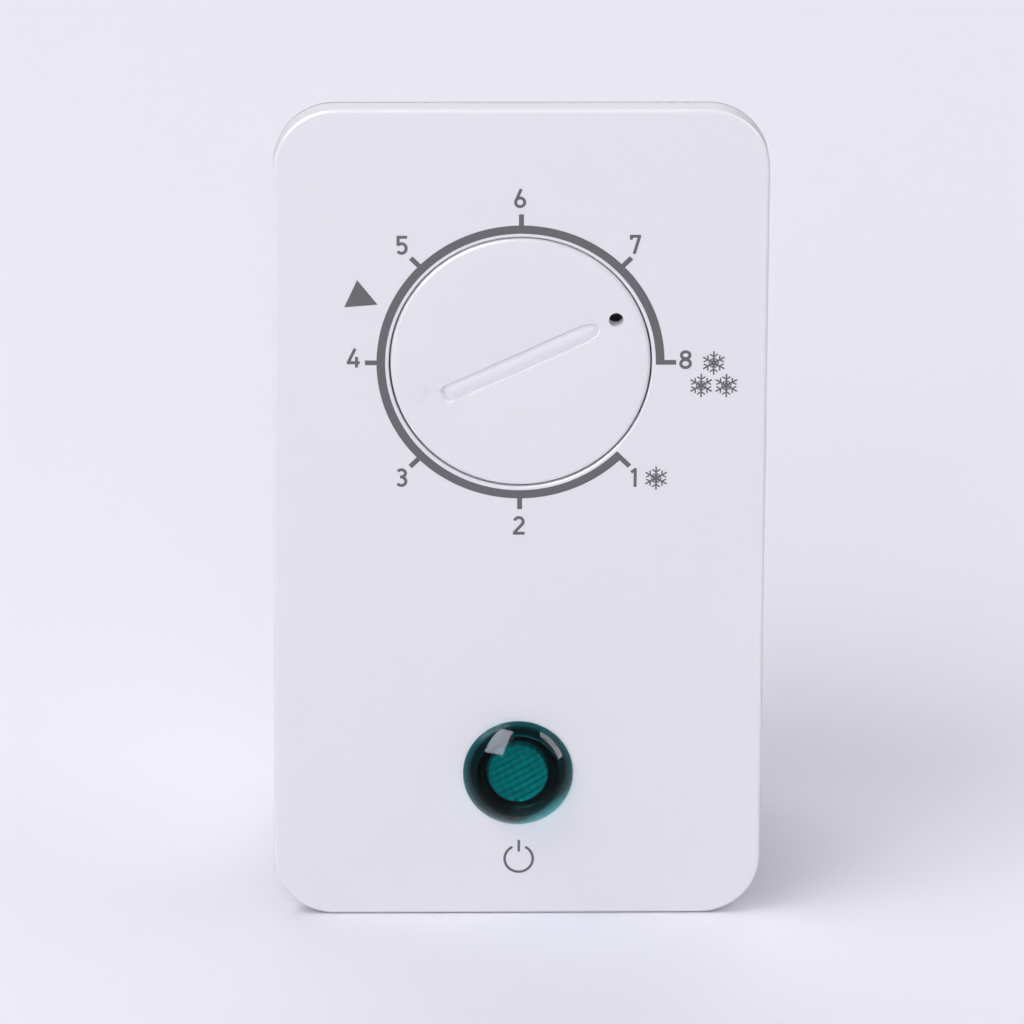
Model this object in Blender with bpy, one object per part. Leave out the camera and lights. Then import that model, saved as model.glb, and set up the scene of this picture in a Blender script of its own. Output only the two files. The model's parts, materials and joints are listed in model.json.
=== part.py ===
"""Wall thermostat with a flush coin-slot dial and a signal lamp, set in a wall opening.

The front is a moulded panel. A capillary thermostat hangs behind the dial's dish, a neon lamp
shines through the panel below it, and a moulded box in the wall holds the wiring.

Frame: +X right, +Y into the wall, +Z up. The origin is the centre of the wall opening, in the
plane of the wall's face that the box's flange lies on. Every number below is in millimetres
and is turned into metres where the meshes are made.
"""
import math

import bmesh
import bpy
from mathutils import Vector

MM = 0.001
GAP = 0.3                       # air left between two pieces that touch in the real object
ROUND = 56                      # sides of the dial and its dish

# Front panel
PANEL_WIDTH = 70.0
PANEL_HEIGHT = 121.4
PANEL_CORNER = 8.7
PANEL_WALL = 1.8
PANEL_FRONT = -4.2              # depth of the panel's front face
PANEL_REAR = -0.2               # rim stops just short of the wall
PANEL_EDGE = 0.5                # radius rolled round the front edge

# Dial and its dish
DIAL_Z = 23.3
DISH_RADIUS = 18.75
DISH_FLOOR = 8.5
DISH_WALL = 1.55
KNOB_RADIUS = 18.45
KNOB_DISC = 2.4
KNOB_EDGE = 0.6
KNOB_SKIRT_END = 1.5
HUB_RADIUS = 5.5
HUB_END = 4.0
POINTER_ANGLE = 25.0            # degrees anticlockwise from +X, seen from the front
POINTER_RADIUS = 14.9
POINTER_HOLE = 1.0
SLOT_LENGTH = 23.6
SLOT_WIDTH = 2.4
SLOT_DEPTH = 1.0
TURN_TO_MAX = 25.0              # degrees clockwise from here to the highest setting
TURN_SPAN = 315.0               # degrees from the lowest setting to the highest

# Thermostat body, measured from the dial's axis
BUSH_RADIUS = 4.8
BUSH_FRONT = 4.5
SPINDLE_RADIUS = 3.0
RUNNING = 0.1                   # clearance of a part that turns in its bore
FRAME_FRONT = DISH_FLOOR + 1.8 + GAP
SHEET = 1.2                     # steel sheet of the frame
FRAME_HALF = 15.0
FRAME_TOP = 16.0
FRAME_BOTTOM = -24.2
FRAME_REAR = 41.0
CAM_FRONT = 13.9
CAM_LOW = 15.9
CAM_LIFT = 1.4
CAM_RADIUS = 8.0
STOP_RADIUS = 10.2
PIN_RADIUS = 1.25
RANGE_PIVOT = (19.5, 12.0)      # depth and height of each lever's pin
RANGE_NOSE = (-2.4, -6.5)       # nose of the range lever, from its pin
RANGE_ARM = 14.5
MAIN_PIVOT = (26.0, -8.0)
MAIN_NOSE = (-6.4, 0.0)
MAIN_HOOK = (8.0, 1.0)
BELLOWS_DEPTH = 20.5
SPRING_RADIUS = 2.8
SPRING_WIRE = 0.4
SPRING_TURNS = 6
BLADE_X = 7.5
BLADE_PIVOT = (36.05, -14.0)
BASE_FRONT = 38.2
BASE_REAR = 44.0
TAB = (6.3, 0.8)                # push-on tab, width and thickness
TAB_END = -31.0

# Signal lamp
LAMP_Z = -38.9
LAMP_HOLE = 6.5
LENS_RADIUS = 7.9
LENS_RIM = 0.25                 # thickness of the lens at its edge
LENS_HEIGHT = 4.7               # from its seat to the top of its dome
LENS_SOLID = -3.6               # depth to which the lens is solid
LAMP_BARREL = 6.2
LAMP_BORE = 5.5
LAMP_REAR = 20.0

# Box in the wall
BOX_WIDTH = 56.0
BOX_TOP = 50.0
SHOULDER = (14.0, 22.0)         # depths between which the top slopes down
BOX_REAR_TOP = 43.5
SHOULDER_SET_BACK = 0.8         # how far the inside of the slope starts ahead of the outside
BOX_BOTTOM = -50.0
BOX_CORNER = 4.0
BOX_WALL = 1.8
BOX_REAR = 51.0
FLANGE_WIDTH = 65.6
FLANGE_HEIGHT = 117.0
FLANGE = 1.6
SCREW_X = 20.0
SCREW_Z = 54.2
CLIP_HEIGHTS = (-44.0, -10.0, 44.0)
CABLE_ENTRY = (16.0, -8.0)
CABLE_BORE = 3.6
CAPILLARY_ENTRY = (-20.0, -8.0)
CAPILLARY_RADIUS = 1.0

# Terminal block and leads
BLOCK_FRONT = 37.0
BLOCK_REAR = 48.0
BLOCK_TOP = -22.0
BLOCK_BOTTOM = -33.0
BLOCK_HALF = 21.0
WAY_PITCH = 7.0
WAYS = 5
WAY_DEPTH = 42.5
BLOCK_SCREW_X = 18.5
LEAD_RADIUS = 1.1
CRIMP_LENGTH = 12.0


def clear_scene():
    for old in list(bpy.data.objects):
        bpy.data.objects.remove(old, do_unlink=True)


def material(name, colour, roughness, metallic=0.0):
    made = bpy.data.materials.new(name)
    made.use_nodes = True
    shader = made.node_tree.nodes["Principled BSDF"]
    shader.inputs["Base Color"].default_value = (*colour, 1.0)
    shader.inputs["Roughness"].default_value = roughness
    shader.inputs["Metallic"].default_value = metallic
    return made


def make_materials():
    return {
        "panel_white": material("panel_white", (0.80, 0.80, 0.86), 0.32),
        "knob_white": material("knob_white", (0.80, 0.80, 0.86), 0.35),
        "box_white": material("box_white", (0.72, 0.72, 0.74), 0.5),
        "lens_green": material("lens_green", (0.0, 0.16, 0.15), 0.08),
        "diffuser": material("diffuser", (0.10, 0.45, 0.40), 0.4),
        "nylon_black": material("nylon_black", (0.02, 0.02, 0.02), 0.5),
        "nylon_natural": material("nylon_natural", (0.75, 0.73, 0.66), 0.45),
        "zinc_steel": material("zinc_steel", (0.55, 0.56, 0.58), 0.35, 1.0),
        "spring_steel": material("spring_steel", (0.40, 0.41, 0.43), 0.3, 1.0),
        "brass": material("brass", (0.78, 0.60, 0.28), 0.3, 1.0),
        "copper": material("copper", (0.72, 0.40, 0.26), 0.35, 1.0),
        "silver": material("silver", (0.85, 0.84, 0.80), 0.25, 1.0),
        "phenolic": material("phenolic", (0.06, 0.035, 0.025), 0.45),
        "rubber": material("rubber", (0.03, 0.03, 0.03), 0.8),
        "glass": material("glass", (0.85, 0.87, 0.86), 0.05),
        "resistor_tan": material("resistor_tan", (0.62, 0.48, 0.32), 0.5),
        "lead_brown": material("lead_brown", (0.16, 0.07, 0.03), 0.5),
        "lead_blue": material("lead_blue", (0.03, 0.12, 0.45), 0.5),
        "lead_black": material("lead_black", (0.02, 0.02, 0.02), 0.5),
        "lead_earth": material("lead_earth", (0.20, 0.45, 0.06), 0.5),
    }


# ---------------------------------------------------------------- shapes

def add_object(name, bm, surface, at=(0.0, 0.0, 0.0)):
    """Make an object from a mesh in millimetres, with its origin at the point `at`."""
    bmesh.ops.remove_doubles(bm, verts=bm.verts, dist=0.001)
    bmesh.ops.recalc_face_normals(bm, faces=bm.faces)
    bmesh.ops.scale(bm, vec=(MM, MM, MM), verts=bm.verts)
    mesh = bpy.data.meshes.new(name)
    bm.to_mesh(mesh)
    bm.free()
    mesh.shade_smooth()
    mesh.set_sharp_from_angle(angle=math.radians(32.0))
    made = bpy.data.objects.new(name, mesh)
    made.location = [value * MM for value in at]
    if surface is not None:
        mesh.materials.append(surface)
    bpy.context.collection.objects.link(made)
    return made


def along(axis, first, second, height):
    """A point from two coordinates across an axis and one along it."""
    if axis == "X":
        return (height, first, second)
    if axis == "Y":
        return (first, height, second)
    return (first, second, height)


def prism(name, outline, axis, low, high, surface=None, at=(0.0, 0.0, 0.0)):
    """Extrude a flat outline along an axis."""
    bm = bmesh.new()
    corners = [bm.verts.new(along(axis, first, second, low)) for first, second in outline]
    face = bm.faces.new(corners)
    raised = bmesh.ops.extrude_face_region(bm, geom=[face])["geom"]
    verts = [item for item in raised if isinstance(item, bmesh.types.BMVert)]
    bmesh.ops.translate(bm, verts=verts, vec=along(axis, 0.0, 0.0, high - low))
    return add_object(name, bm, surface, at)


def slab(name, low, high, surface=None, at=(0.0, 0.0, 0.0)):
    """A rectangular block between two corners."""
    outline = [(low[0], low[1]), (high[0], low[1]), (high[0], high[1]), (low[0], high[1])]
    return prism(name, outline, "Z", low[2], high[2], surface, at)


def lofted(name, loops, surface=None):
    """Solid whose skin runs through outlines of (x, z) points, each at its own depth."""
    bm = bmesh.new()
    rings = [[bm.verts.new((x, depth, z)) for x, z in outline] for outline, depth in loops]
    for one, two in zip(rings, rings[1:]):
        count = len(one)
        for step in range(count):
            follow = (step + 1) % count
            bm.faces.new((one[step], one[follow], two[follow], two[step]))
    bm.faces.new(rings[0])
    bm.faces.new(rings[-1])
    return add_object(name, bm, surface)


def turned(name, profile, axis, steps, surface=None, at=(0.0, 0.0, 0.0), centre=(0.0, 0.0)):
    """Turn a profile of (radius, height) round an axis through `centre`.

    A profile that starts and ends at radius 0 is closed by its own two poles, and any other
    profile is closed from its last point back to its first.
    """
    bm = bmesh.new()
    rings = []
    for radius, height in profile:
        if radius == 0.0:
            rings.append([bm.verts.new(along(axis, centre[0], centre[1], height))])
            continue
        ring = []
        for step in range(steps):
            angle = math.tau * step / steps
            first = centre[0] + radius * math.cos(angle)
            second = centre[1] + radius * math.sin(angle)
            ring.append(bm.verts.new(along(axis, first, second, height)))
        rings.append(ring)
    pairs = list(zip(rings, rings[1:]))
    if profile[0][0] != 0.0:
        pairs.append((rings[-1], rings[0]))
    for one, two in pairs:
        for step in range(steps):
            follow = (step + 1) % steps
            corners = [one[step % len(one)], one[follow % len(one)]]
            corners += [two[follow % len(two)], two[step % len(two)]]
            bm.faces.new(list(dict.fromkeys(corners)))
    return add_object(name, bm, surface, at)


def rod(name, axis, radius, low, high, steps, surface=None, at=(0.0, 0.0, 0.0), centre=(0.0, 0.0)):
    profile = [(0.0, low), (radius, low), (radius, high), (0.0, high)]
    return turned(name, profile, axis, steps, surface, at, centre)


def arc(centre, radius, start, end, steps):
    """Points on an arc, with its angles in degrees anticlockwise from the first axis."""
    points = []
    for step in range(steps + 1):
        angle = math.radians(start + (end - start) * step / steps)
        points.append((centre[0] + radius * math.cos(angle), centre[1] + radius * math.sin(angle)))
    return points


def rounded_rectangle(width, height, radius, steps=7):
    half_w = width / 2.0 - radius
    half_h = height / 2.0 - radius
    points = []
    corners = [(half_w, half_h), (-half_w, half_h), (-half_w, -half_h), (half_w, -half_h)]
    for index, corner in enumerate(corners):
        points += arc(corner, radius, 90.0 * index, 90.0 * index + 90.0, steps)
    return points


def link_outline(first, first_radius, second, second_radius, steps=6):
    """Outline of a flat link: two round ends joined by their outer tangents."""
    span = Vector(second) - Vector(first)
    heading = math.degrees(math.atan2(span.y, span.x))
    lean = math.degrees(math.acos((first_radius - second_radius) / span.length))
    points = arc(second, second_radius, heading - lean, heading + lean, steps)
    points += arc(first, first_radius, heading + lean, heading + 360.0 - lean, steps)
    return points


def smooth_route(points, per_span):
    """Points on one smooth curve through a route's own points (Catmull-Rom)."""
    route = [Vector(point) for point in points]
    route = [2 * route[0] - route[1]] + route + [2 * route[-1] - route[-2]]
    curve = []
    for index in range(1, len(route) - 2):
        before, start, end, after = route[index - 1:index + 3]
        for step in range(per_span):
            t = step / per_span
            pull = (end - before) * t + (2 * before - 5 * start + 4 * end - after) * t * t
            pull += (3 * start - before - 3 * end + after) * t ** 3
            curve.append(start + 0.5 * pull)
    curve.append(route[-2])
    return curve


def wire(name, points, radius, surface, bevel_resolution=2):
    """A round wire along a list of points, with closed ends."""
    shape = bpy.data.curves.new(name, "CURVE")
    shape.dimensions = "3D"
    shape.bevel_depth = radius * MM
    shape.bevel_resolution = bevel_resolution
    shape.use_fill_caps = True
    spline = shape.splines.new("POLY")
    spline.points.add(len(points) - 1)
    for slot, point in zip(spline.points, points):
        slot.co = (*(Vector(point) * MM), 1.0)
    spline.use_smooth = True
    shape.materials.append(surface)
    made = bpy.data.objects.new(name, shape)
    bpy.context.collection.objects.link(made)
    return made


def boolean(target, operation, tools):
    for tool in tools:
        step = target.modifiers.new(tool.name, "BOOLEAN")
        step.operation = operation
        step.solver = "EXACT"
        step.object = tool
        tool.hide_render = True
        tool.display_type = "WIRE"


def cut(target, *tools):
    boolean(target, "DIFFERENCE", tools)


def weld(target, *tools):
    boolean(target, "UNION", tools)


# ---------------------------------------------------------------- front

def front_panel(surfaces):
    """Shell with a rolled front edge, the dial's dish, the lamp's hole and six snap hooks."""
    loops = [(PANEL_WALL, PANEL_FRONT + PANEL_WALL), (PANEL_WALL, PANEL_REAR), (0.0, PANEL_REAR)]
    for turn in range(4):
        angle = math.radians(90.0 * turn / 3)
        inset = PANEL_EDGE * (1.0 - math.cos(angle))
        loops.append((inset, PANEL_FRONT + PANEL_EDGE * (1.0 - math.sin(angle))))
    panel = lofted("front_panel", [
        (rounded_rectangle(PANEL_WIDTH - 2 * inset, PANEL_HEIGHT - 2 * inset, PANEL_CORNER - inset), depth)
        for inset, depth in loops], surfaces["panel_white"])

    at = (0.0, 0.0, DIAL_Z)
    dish = rod("dish_body", "Y", DISH_RADIUS + DISH_WALL, PANEL_FRONT + 1.0, DISH_FLOOR + PANEL_WALL,
               ROUND, at=at)
    hollow = turned("dish_hollow", [
        (0.0, PANEL_FRONT - 1.0),
        (DISH_RADIUS + 0.3, PANEL_FRONT - 1.0),
        (DISH_RADIUS + 0.3, PANEL_FRONT),
        (DISH_RADIUS, PANEL_FRONT + 0.3),
        (DISH_RADIUS - 0.1, DISH_FLOOR),
        (0.0, DISH_FLOOR),
    ], "Y", ROUND, at=at)
    bush_hole = rod("bush_hole", "Y", BUSH_RADIUS + GAP, DISH_FLOOR - 1.0, DISH_FLOOR + 3.0, 24, at=at)
    lamp_hole = rod("lamp_hole", "Y", LAMP_HOLE, PANEL_FRONT - 1.0, PANEL_FRONT + 3.0, 32,
                    at=(0.0, 0.0, LAMP_Z))

    inner = BOX_WIDTH / 2.0 - BOX_WALL
    arm_out = inner - 0.6
    arm_in = arm_out - 1.3
    back = PANEL_FRONT + PANEL_WALL
    for height in CLIP_HEIGHTS:
        for side in (-1, 1):
            outline = [(side * arm_in, back - 0.5), (side * arm_out, back - 0.5),
                       (side * arm_out, 5.0), (side * (inner + 1.2), 5.0),
                       (side * (inner + 0.9), 5.8), (side * arm_out, 8.4), (side * arm_in, 8.4)]
            hook = prism(f"hook_{side}_{height}", outline, "Z", height - 3.0, height + 3.0)
            weld(panel, hook)
    cut(panel, lamp_hole)
    weld(panel, dish)
    cut(panel, hollow, bush_hole)
    return panel


def slot_outline():
    """Coin slot: round at one end, drawn to a blunt point towards the pointer hole."""
    half = SLOT_WIDTH / 2.0
    reach = SLOT_LENGTH / 2.0
    outline = arc((-reach + half, 0.0), half, 90.0, 270.0, 6)
    outline += [(reach - 2.4, -half * 0.85), (reach - 0.5, -half * 0.4)]
    outline += [(reach - 0.5, half * 0.4), (reach - 2.4, half * 0.85)]
    angle = math.radians(POINTER_ANGLE)
    cos, sin = math.cos(angle), math.sin(angle)
    return [(x * cos - z * sin, x * sin + z * cos) for x, z in outline]


def flat_bore(name, radius, low, high, at):
    """Round tool with one flat, for a shaft's D section."""
    flat = radius * 0.5
    start = math.degrees(math.acos(flat / radius))
    outline = arc((0.0, 0.0), radius, start, 360.0 - start, 16)
    return prism(name, outline, "Y", low, high, at=at)


def dial_knob(surfaces, at):
    front = PANEL_FRONT
    profile = [(0.0, front)]
    for turn in range(4):
        angle = math.radians(90.0 * turn / 3)
        radius = KNOB_RADIUS - KNOB_EDGE * (1.0 - math.sin(angle))
        profile.append((radius, front + KNOB_EDGE * (1.0 - math.cos(angle))))
    profile += [
        (KNOB_RADIUS - 0.15, KNOB_SKIRT_END),
        (KNOB_RADIUS - 1.5, KNOB_SKIRT_END),
        (KNOB_RADIUS - 1.4, front + KNOB_DISC),
        (HUB_RADIUS, front + KNOB_DISC),
        (HUB_RADIUS, HUB_END),
        (0.0, HUB_END),
    ]
    knob = turned("dial_knob", profile, "Y", ROUND, surfaces["knob_white"], at)
    slot = prism("coin_slot", slot_outline(), "Y", front - 1.0, front + SLOT_DEPTH, at=at)
    angle = math.radians(POINTER_ANGLE)
    pointer = rod("pointer_hole", "Y", POINTER_HOLE, front - 1.0, front + KNOB_DISC + 1.0, 12, at=at,
                  centre=(POINTER_RADIUS * math.cos(angle), POINTER_RADIUS * math.sin(angle)))
    bore = flat_bore("hub_bore", SPINDLE_RADIUS + GAP, -2.3, HUB_END + 1.0, at)
    cut(knob, slot, pointer, bore)
    return knob


def knob_spring_clip(surfaces, at):
    """Open spring ring round the hub."""
    ring = [(x, 2.6, z) for x, z in arc((0.0, 0.0), HUB_RADIUS + GAP + 0.35, 20.0, 340.0, 18)]
    shift = Vector(at)
    return wire("knob_spring_clip", [Vector(point) + shift for point in ring], 0.35,
                surfaces["spring_steel"], 1)


# ---------------------------------------------------------------- thermostat

def mounting_nut(surfaces, at):
    corner = 14.0 / math.sqrt(3.0)
    nut = prism("mounting_nut", arc((0.0, 0.0), corner, 0.0, 300.0, 5), "Y",
                HUB_END + GAP, HUB_END + GAP + 3.0, surfaces["zinc_steel"], at)
    cut(nut, rod("nut_bore", "Y", BUSH_RADIUS + GAP, 0.0, 12.0, 24, at=at))
    return nut


def lock_washer(surfaces, at):
    teeth = 10
    outline = []
    for tooth in range(teeth):
        start = 360.0 * tooth / teeth
        outline += arc((0.0, 0.0), 8.6, start, start + 18.0, 1)
        outline += arc((0.0, 0.0), 7.4, start + 22.0, start + 32.0, 1)
    washer = prism("lock_washer", outline, "Y", DISH_FLOOR - GAP - 0.6, DISH_FLOOR - GAP,
                   surfaces["spring_steel"], at)
    cut(washer, rod("washer_bore", "Y", BUSH_RADIUS + GAP, 0.0, 12.0, 24, at=at))
    return washer


def thermostat_frame(surfaces, at):
    """Sheet bent to a U with a shelf for the bellows and a tab that stops the cam."""
    front = FRAME_FRONT
    out = FRAME_HALF
    inner = FRAME_HALF - SHEET
    section = [(-out, front), (out, front), (out, FRAME_REAR), (inner, FRAME_REAR),
               (inner, front + SHEET), (-inner, front + SHEET), (-inner, FRAME_REAR), (-out, FRAME_REAR)]
    frame = prism("thermostat_frame", section, "Z", FRAME_BOTTOM, FRAME_TOP, surfaces["zinc_steel"], at)
    shelf = slab("frame_shelf", (-inner - 0.5, front + 0.5, FRAME_BOTTOM),
                 (inner + 0.5, 34.0, FRAME_BOTTOM + SHEET), at=at)
    stop = slab("frame_stop", (-1.6, front + 0.5, CAM_RADIUS + 0.8), (1.6, 15.5, STOP_RADIUS + 0.2), at=at)
    weld(frame, shelf, stop)
    cut(frame, rod("frame_bush_hole", "Y", BUSH_RADIUS + GAP, front - 1.0, front + 3.0, 24, at=at))
    for name, pivot in (("range", RANGE_PIVOT), ("main", MAIN_PIVOT)):
        hole = rod(f"frame_{name}_pin_holes", "X", PIN_RADIUS + GAP, -20.0, 20.0, 12, at=at, centre=pivot)
        cut(frame, hole)
    cut(frame, rod("frame_capillary_hole", "Z", CAPILLARY_RADIUS + 0.6, FRAME_BOTTOM - 1.0,
                   FRAME_BOTTOM + 2.0, 12, at=at, centre=(0.0, BELLOWS_DEPTH)))
    cut(frame, rod("frame_screw_hole", "Z", 1.8, FRAME_BOTTOM - 1.0, FRAME_BOTTOM + 2.0, 12, at=at,
                   centre=(0.0, 30.5)))
    return frame


def spindle_bush(surfaces, at):
    head = FRAME_FRONT + SHEET + GAP
    bore = SPINDLE_RADIUS + RUNNING
    profile = [(bore, BUSH_FRONT), (BUSH_RADIUS - 0.4, BUSH_FRONT), (BUSH_RADIUS, BUSH_FRONT + 0.4),
               (BUSH_RADIUS, head), (6.6, head), (6.6, head + 1.3), (bore, head + 1.3)]
    return turned("spindle_bush", profile, "Y", 28, surfaces["brass"], at)


def spindle(surfaces, at):
    profile = [(0.0, -2.0), (SPINDLE_RADIUS - 0.3, -2.0), (SPINDLE_RADIUS, -1.7),
               (SPINDLE_RADIUS, 18.2), (0.0, 18.2)]
    shaft = turned("spindle", profile, "Y", 28, surfaces["brass"], at)
    flat = slab("spindle_flat", (SPINDLE_RADIUS * 0.5, -3.0, -4.0), (5.0, HUB_END + GAP, 4.0), at=at)
    cut(shaft, flat)
    return shaft


def cam_height(polar):
    """Depth of the cam's ramp where it faces the lever's nose, by its polar angle at rest."""
    turned_by = (polar - 90.0 + 312.5) % 360.0 - 312.5
    if turned_by > 45.0 or turned_by < -TURN_SPAN + TURN_TO_MAX:
        return CAM_LOW + CAM_LIFT
    rise = max(0.0, (TURN_TO_MAX - turned_by) / TURN_SPAN)
    return CAM_LOW + CAM_LIFT * rise


def spindle_cam(surfaces, at):
    """Face cam: flat in front, one helical ramp behind, and a lug that meets the frame's stop."""
    bore = SPINDLE_RADIUS + GAP
    steps = 60
    bm = bmesh.new()
    rings = [[], [], [], []]
    for step in range(steps):
        polar = 360.0 * step / steps
        cos, sin = math.cos(math.radians(polar)), math.sin(math.radians(polar))
        ramp = cam_height(polar)
        for ring, (radius, depth) in zip(rings, (
                (bore, CAM_FRONT), (CAM_RADIUS, CAM_FRONT), (CAM_RADIUS, ramp), (bore, ramp))):
            ring.append(bm.verts.new((radius * cos, depth, radius * sin)))
    for one, two in zip(rings, rings[1:] + rings[:1]):
        for step in range(steps):
            follow = (step + 1) % steps
            bm.faces.new((one[step], one[follow], two[follow], two[step]))
    cam = add_object("spindle_cam", bm, surfaces["nylon_black"], at)
    lug_angle = 90.0 + TURN_TO_MAX + (360.0 - TURN_SPAN) / 2.0
    outline = arc((0.0, 0.0), CAM_RADIUS - 1.0, lug_angle - 12.0, lug_angle + 12.0, 3)
    outline += arc((0.0, 0.0), STOP_RADIUS, lug_angle + 12.0, lug_angle - 12.0, 4)
    weld(cam, prism("cam_lug", outline, "Y", CAM_FRONT, CAM_FRONT + 1.6, at=at))
    return cam


def range_lever(surfaces, at):
    """Bell crank: its nose follows the cam, and its long arm pulls the range spring."""
    lever = prism("range_lever", link_outline((0.0, 0.0), 2.6, RANGE_NOSE, 0.8), "X", -1.5, 1.5,
                  surfaces["zinc_steel"], at)
    arm = prism("range_arm", link_outline((0.0, 0.0), 2.4, (RANGE_ARM, 0.0), 2.0), "X", -1.3, 1.3, at=at)
    weld(lever, arm)
    cut(lever, rod("range_lever_bore", "X", PIN_RADIUS + RUNNING, -3.0, 3.0, 18, at=at),
        rod("range_hook_hole", "X", 0.8, -3.0, 3.0, 10, at=at, centre=(RANGE_ARM, 0.0)))
    return lever


def main_lever(surfaces, at):
    """Beam: the bellows lifts its front, the spring lifts its rear, a finger works the switch."""
    lever = prism("main_lever", link_outline(MAIN_NOSE, 1.2, MAIN_HOOK, 1.5), "X", -1.5, 1.5,
                  surfaces["zinc_steel"], at)
    cut(lever, rod("main_hook_hole", "X", 0.8, -3.0, 3.0, 10, at=at, centre=MAIN_HOOK))
    weld(lever, rod("main_eye", "X", 2.6, -1.8, 1.8, 20, at=at),
         slab("main_bridge", (-1.2, -1.3, 1.6), (9.0, 1.3, 3.2), at=at),
         slab("main_upright", (6.1, -1.0, 1.9), (8.9, 0.8, 11.0), at=at),
         slab("main_finger", (6.3, -0.8, 9.2), (8.7, 9.6, 10.8), at=at))
    cut(lever, rod("main_lever_bore", "X", PIN_RADIUS + RUNNING, -3.0, 3.0, 18, at=at))
    return lever


def lever_pin(name, surfaces, pivot, at):
    profile = [(0.0, -16.6), (2.0, -16.6), (2.0, -15.3), (PIN_RADIUS, -15.3),
               (PIN_RADIUS, 15.9), (0.0, 15.9)]
    return turned(name, profile, "X", 18, surfaces["spring_steel"], at, pivot)


def range_spring(surfaces, at):
    """Tension spring with a cross hook at each end, through the holes of the two levers."""
    depth = RANGE_PIVOT[0] + RANGE_ARM
    top = RANGE_PIVOT[1]
    bottom = MAIN_PIVOT[1] + MAIN_HOOK[1]
    low, high = bottom + 3.0, top - 3.4
    points = [(-2.4, 0.0, bottom + 0.7), (-1.9, 0.0, bottom), (1.9, 0.0, bottom), (2.6, 0.0, bottom + 0.8)]
    per_turn = 10
    for step in range(SPRING_TURNS * per_turn + 1):
        angle = math.tau * step / per_turn
        rise = low + (high - low) * step / (SPRING_TURNS * per_turn)
        points.append((SPRING_RADIUS * math.cos(angle), SPRING_RADIUS * math.sin(angle), rise))
    points += [(2.6, 0.0, top - 0.8), (1.9, 0.0, top), (-1.9, 0.0, top), (-2.4, 0.0, top - 0.7)]
    shift = Vector(at) + Vector((0.0, depth, 0.0))
    return wire("range_spring", [Vector(point) + shift for point in points], SPRING_WIRE,
                surfaces["spring_steel"], 1)


def bellows_parts(surfaces, at):
    """Cup, corrugated bellows and plunger, on one upright axis."""
    centre = (0.0, BELLOWS_DEPTH)
    floor = FRAME_BOTTOM + SHEET + GAP
    turned("bellows_cup", [(0.0, floor), (7.6, floor), (7.6, floor + 8.5), (7.0, floor + 8.5),
                           (7.0, floor + 0.8), (0.0, floor + 0.8)], "Z", 24, surfaces["copper"], at, centre)
    base = floor + 0.8 + GAP
    folds = 4
    pitch = 1.9
    profile = [(4.4, base)]
    for fold in range(folds):
        profile += [(6.6, base + fold * pitch), (6.6, base + fold * pitch + 0.8),
                    (5.5, base + fold * pitch + 1.1), (5.5, base + fold * pitch + 1.6)]
    crown = base + folds * pitch
    profile += [(5.5, crown + 0.4), (0.0, crown + 0.4), (0.0, crown - 0.2), (4.4, crown - 0.2)]
    bellows_shell(profile, surfaces, at, centre)
    plunger = crown + 0.4 + GAP
    top = MAIN_PIVOT[1] - 1.2 - GAP
    turned("bellows_plunger", [(0.0, plunger), (4.0, plunger), (4.0, plunger + 0.9), (1.5, plunger + 0.9),
                               (1.5, top - 0.4), (1.1, top), (0.0, top)], "Z", 16,
           surfaces["brass"], at, centre)


def bellows_shell(profile, surfaces, at, centre):
    """Turn the bellows, which is open below: start at the inner crown and end at its outside."""
    split = profile.index((0.0, profile[-2][1]))
    return turned("bellows", profile[split:] + profile[:split], "Z", 20, surfaces["brass"], at, centre)


def calibration_screw(surfaces, at):
    profile = [(0.0, -28.1), (2.6, -28.1), (2.6, -26.5), (1.5, -26.5), (1.5, -11.0), (1.0, -10.4),
               (0.0, -10.4)]
    screw = turned("calibration_screw", profile, "Z", 16, surfaces["brass"], at, (0.0, 30.5))
    cut(screw, slab("calibration_slot", (-3.0, 30.1, -29.0), (3.0, 30.9, -27.4), at=at))
    return screw


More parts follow.
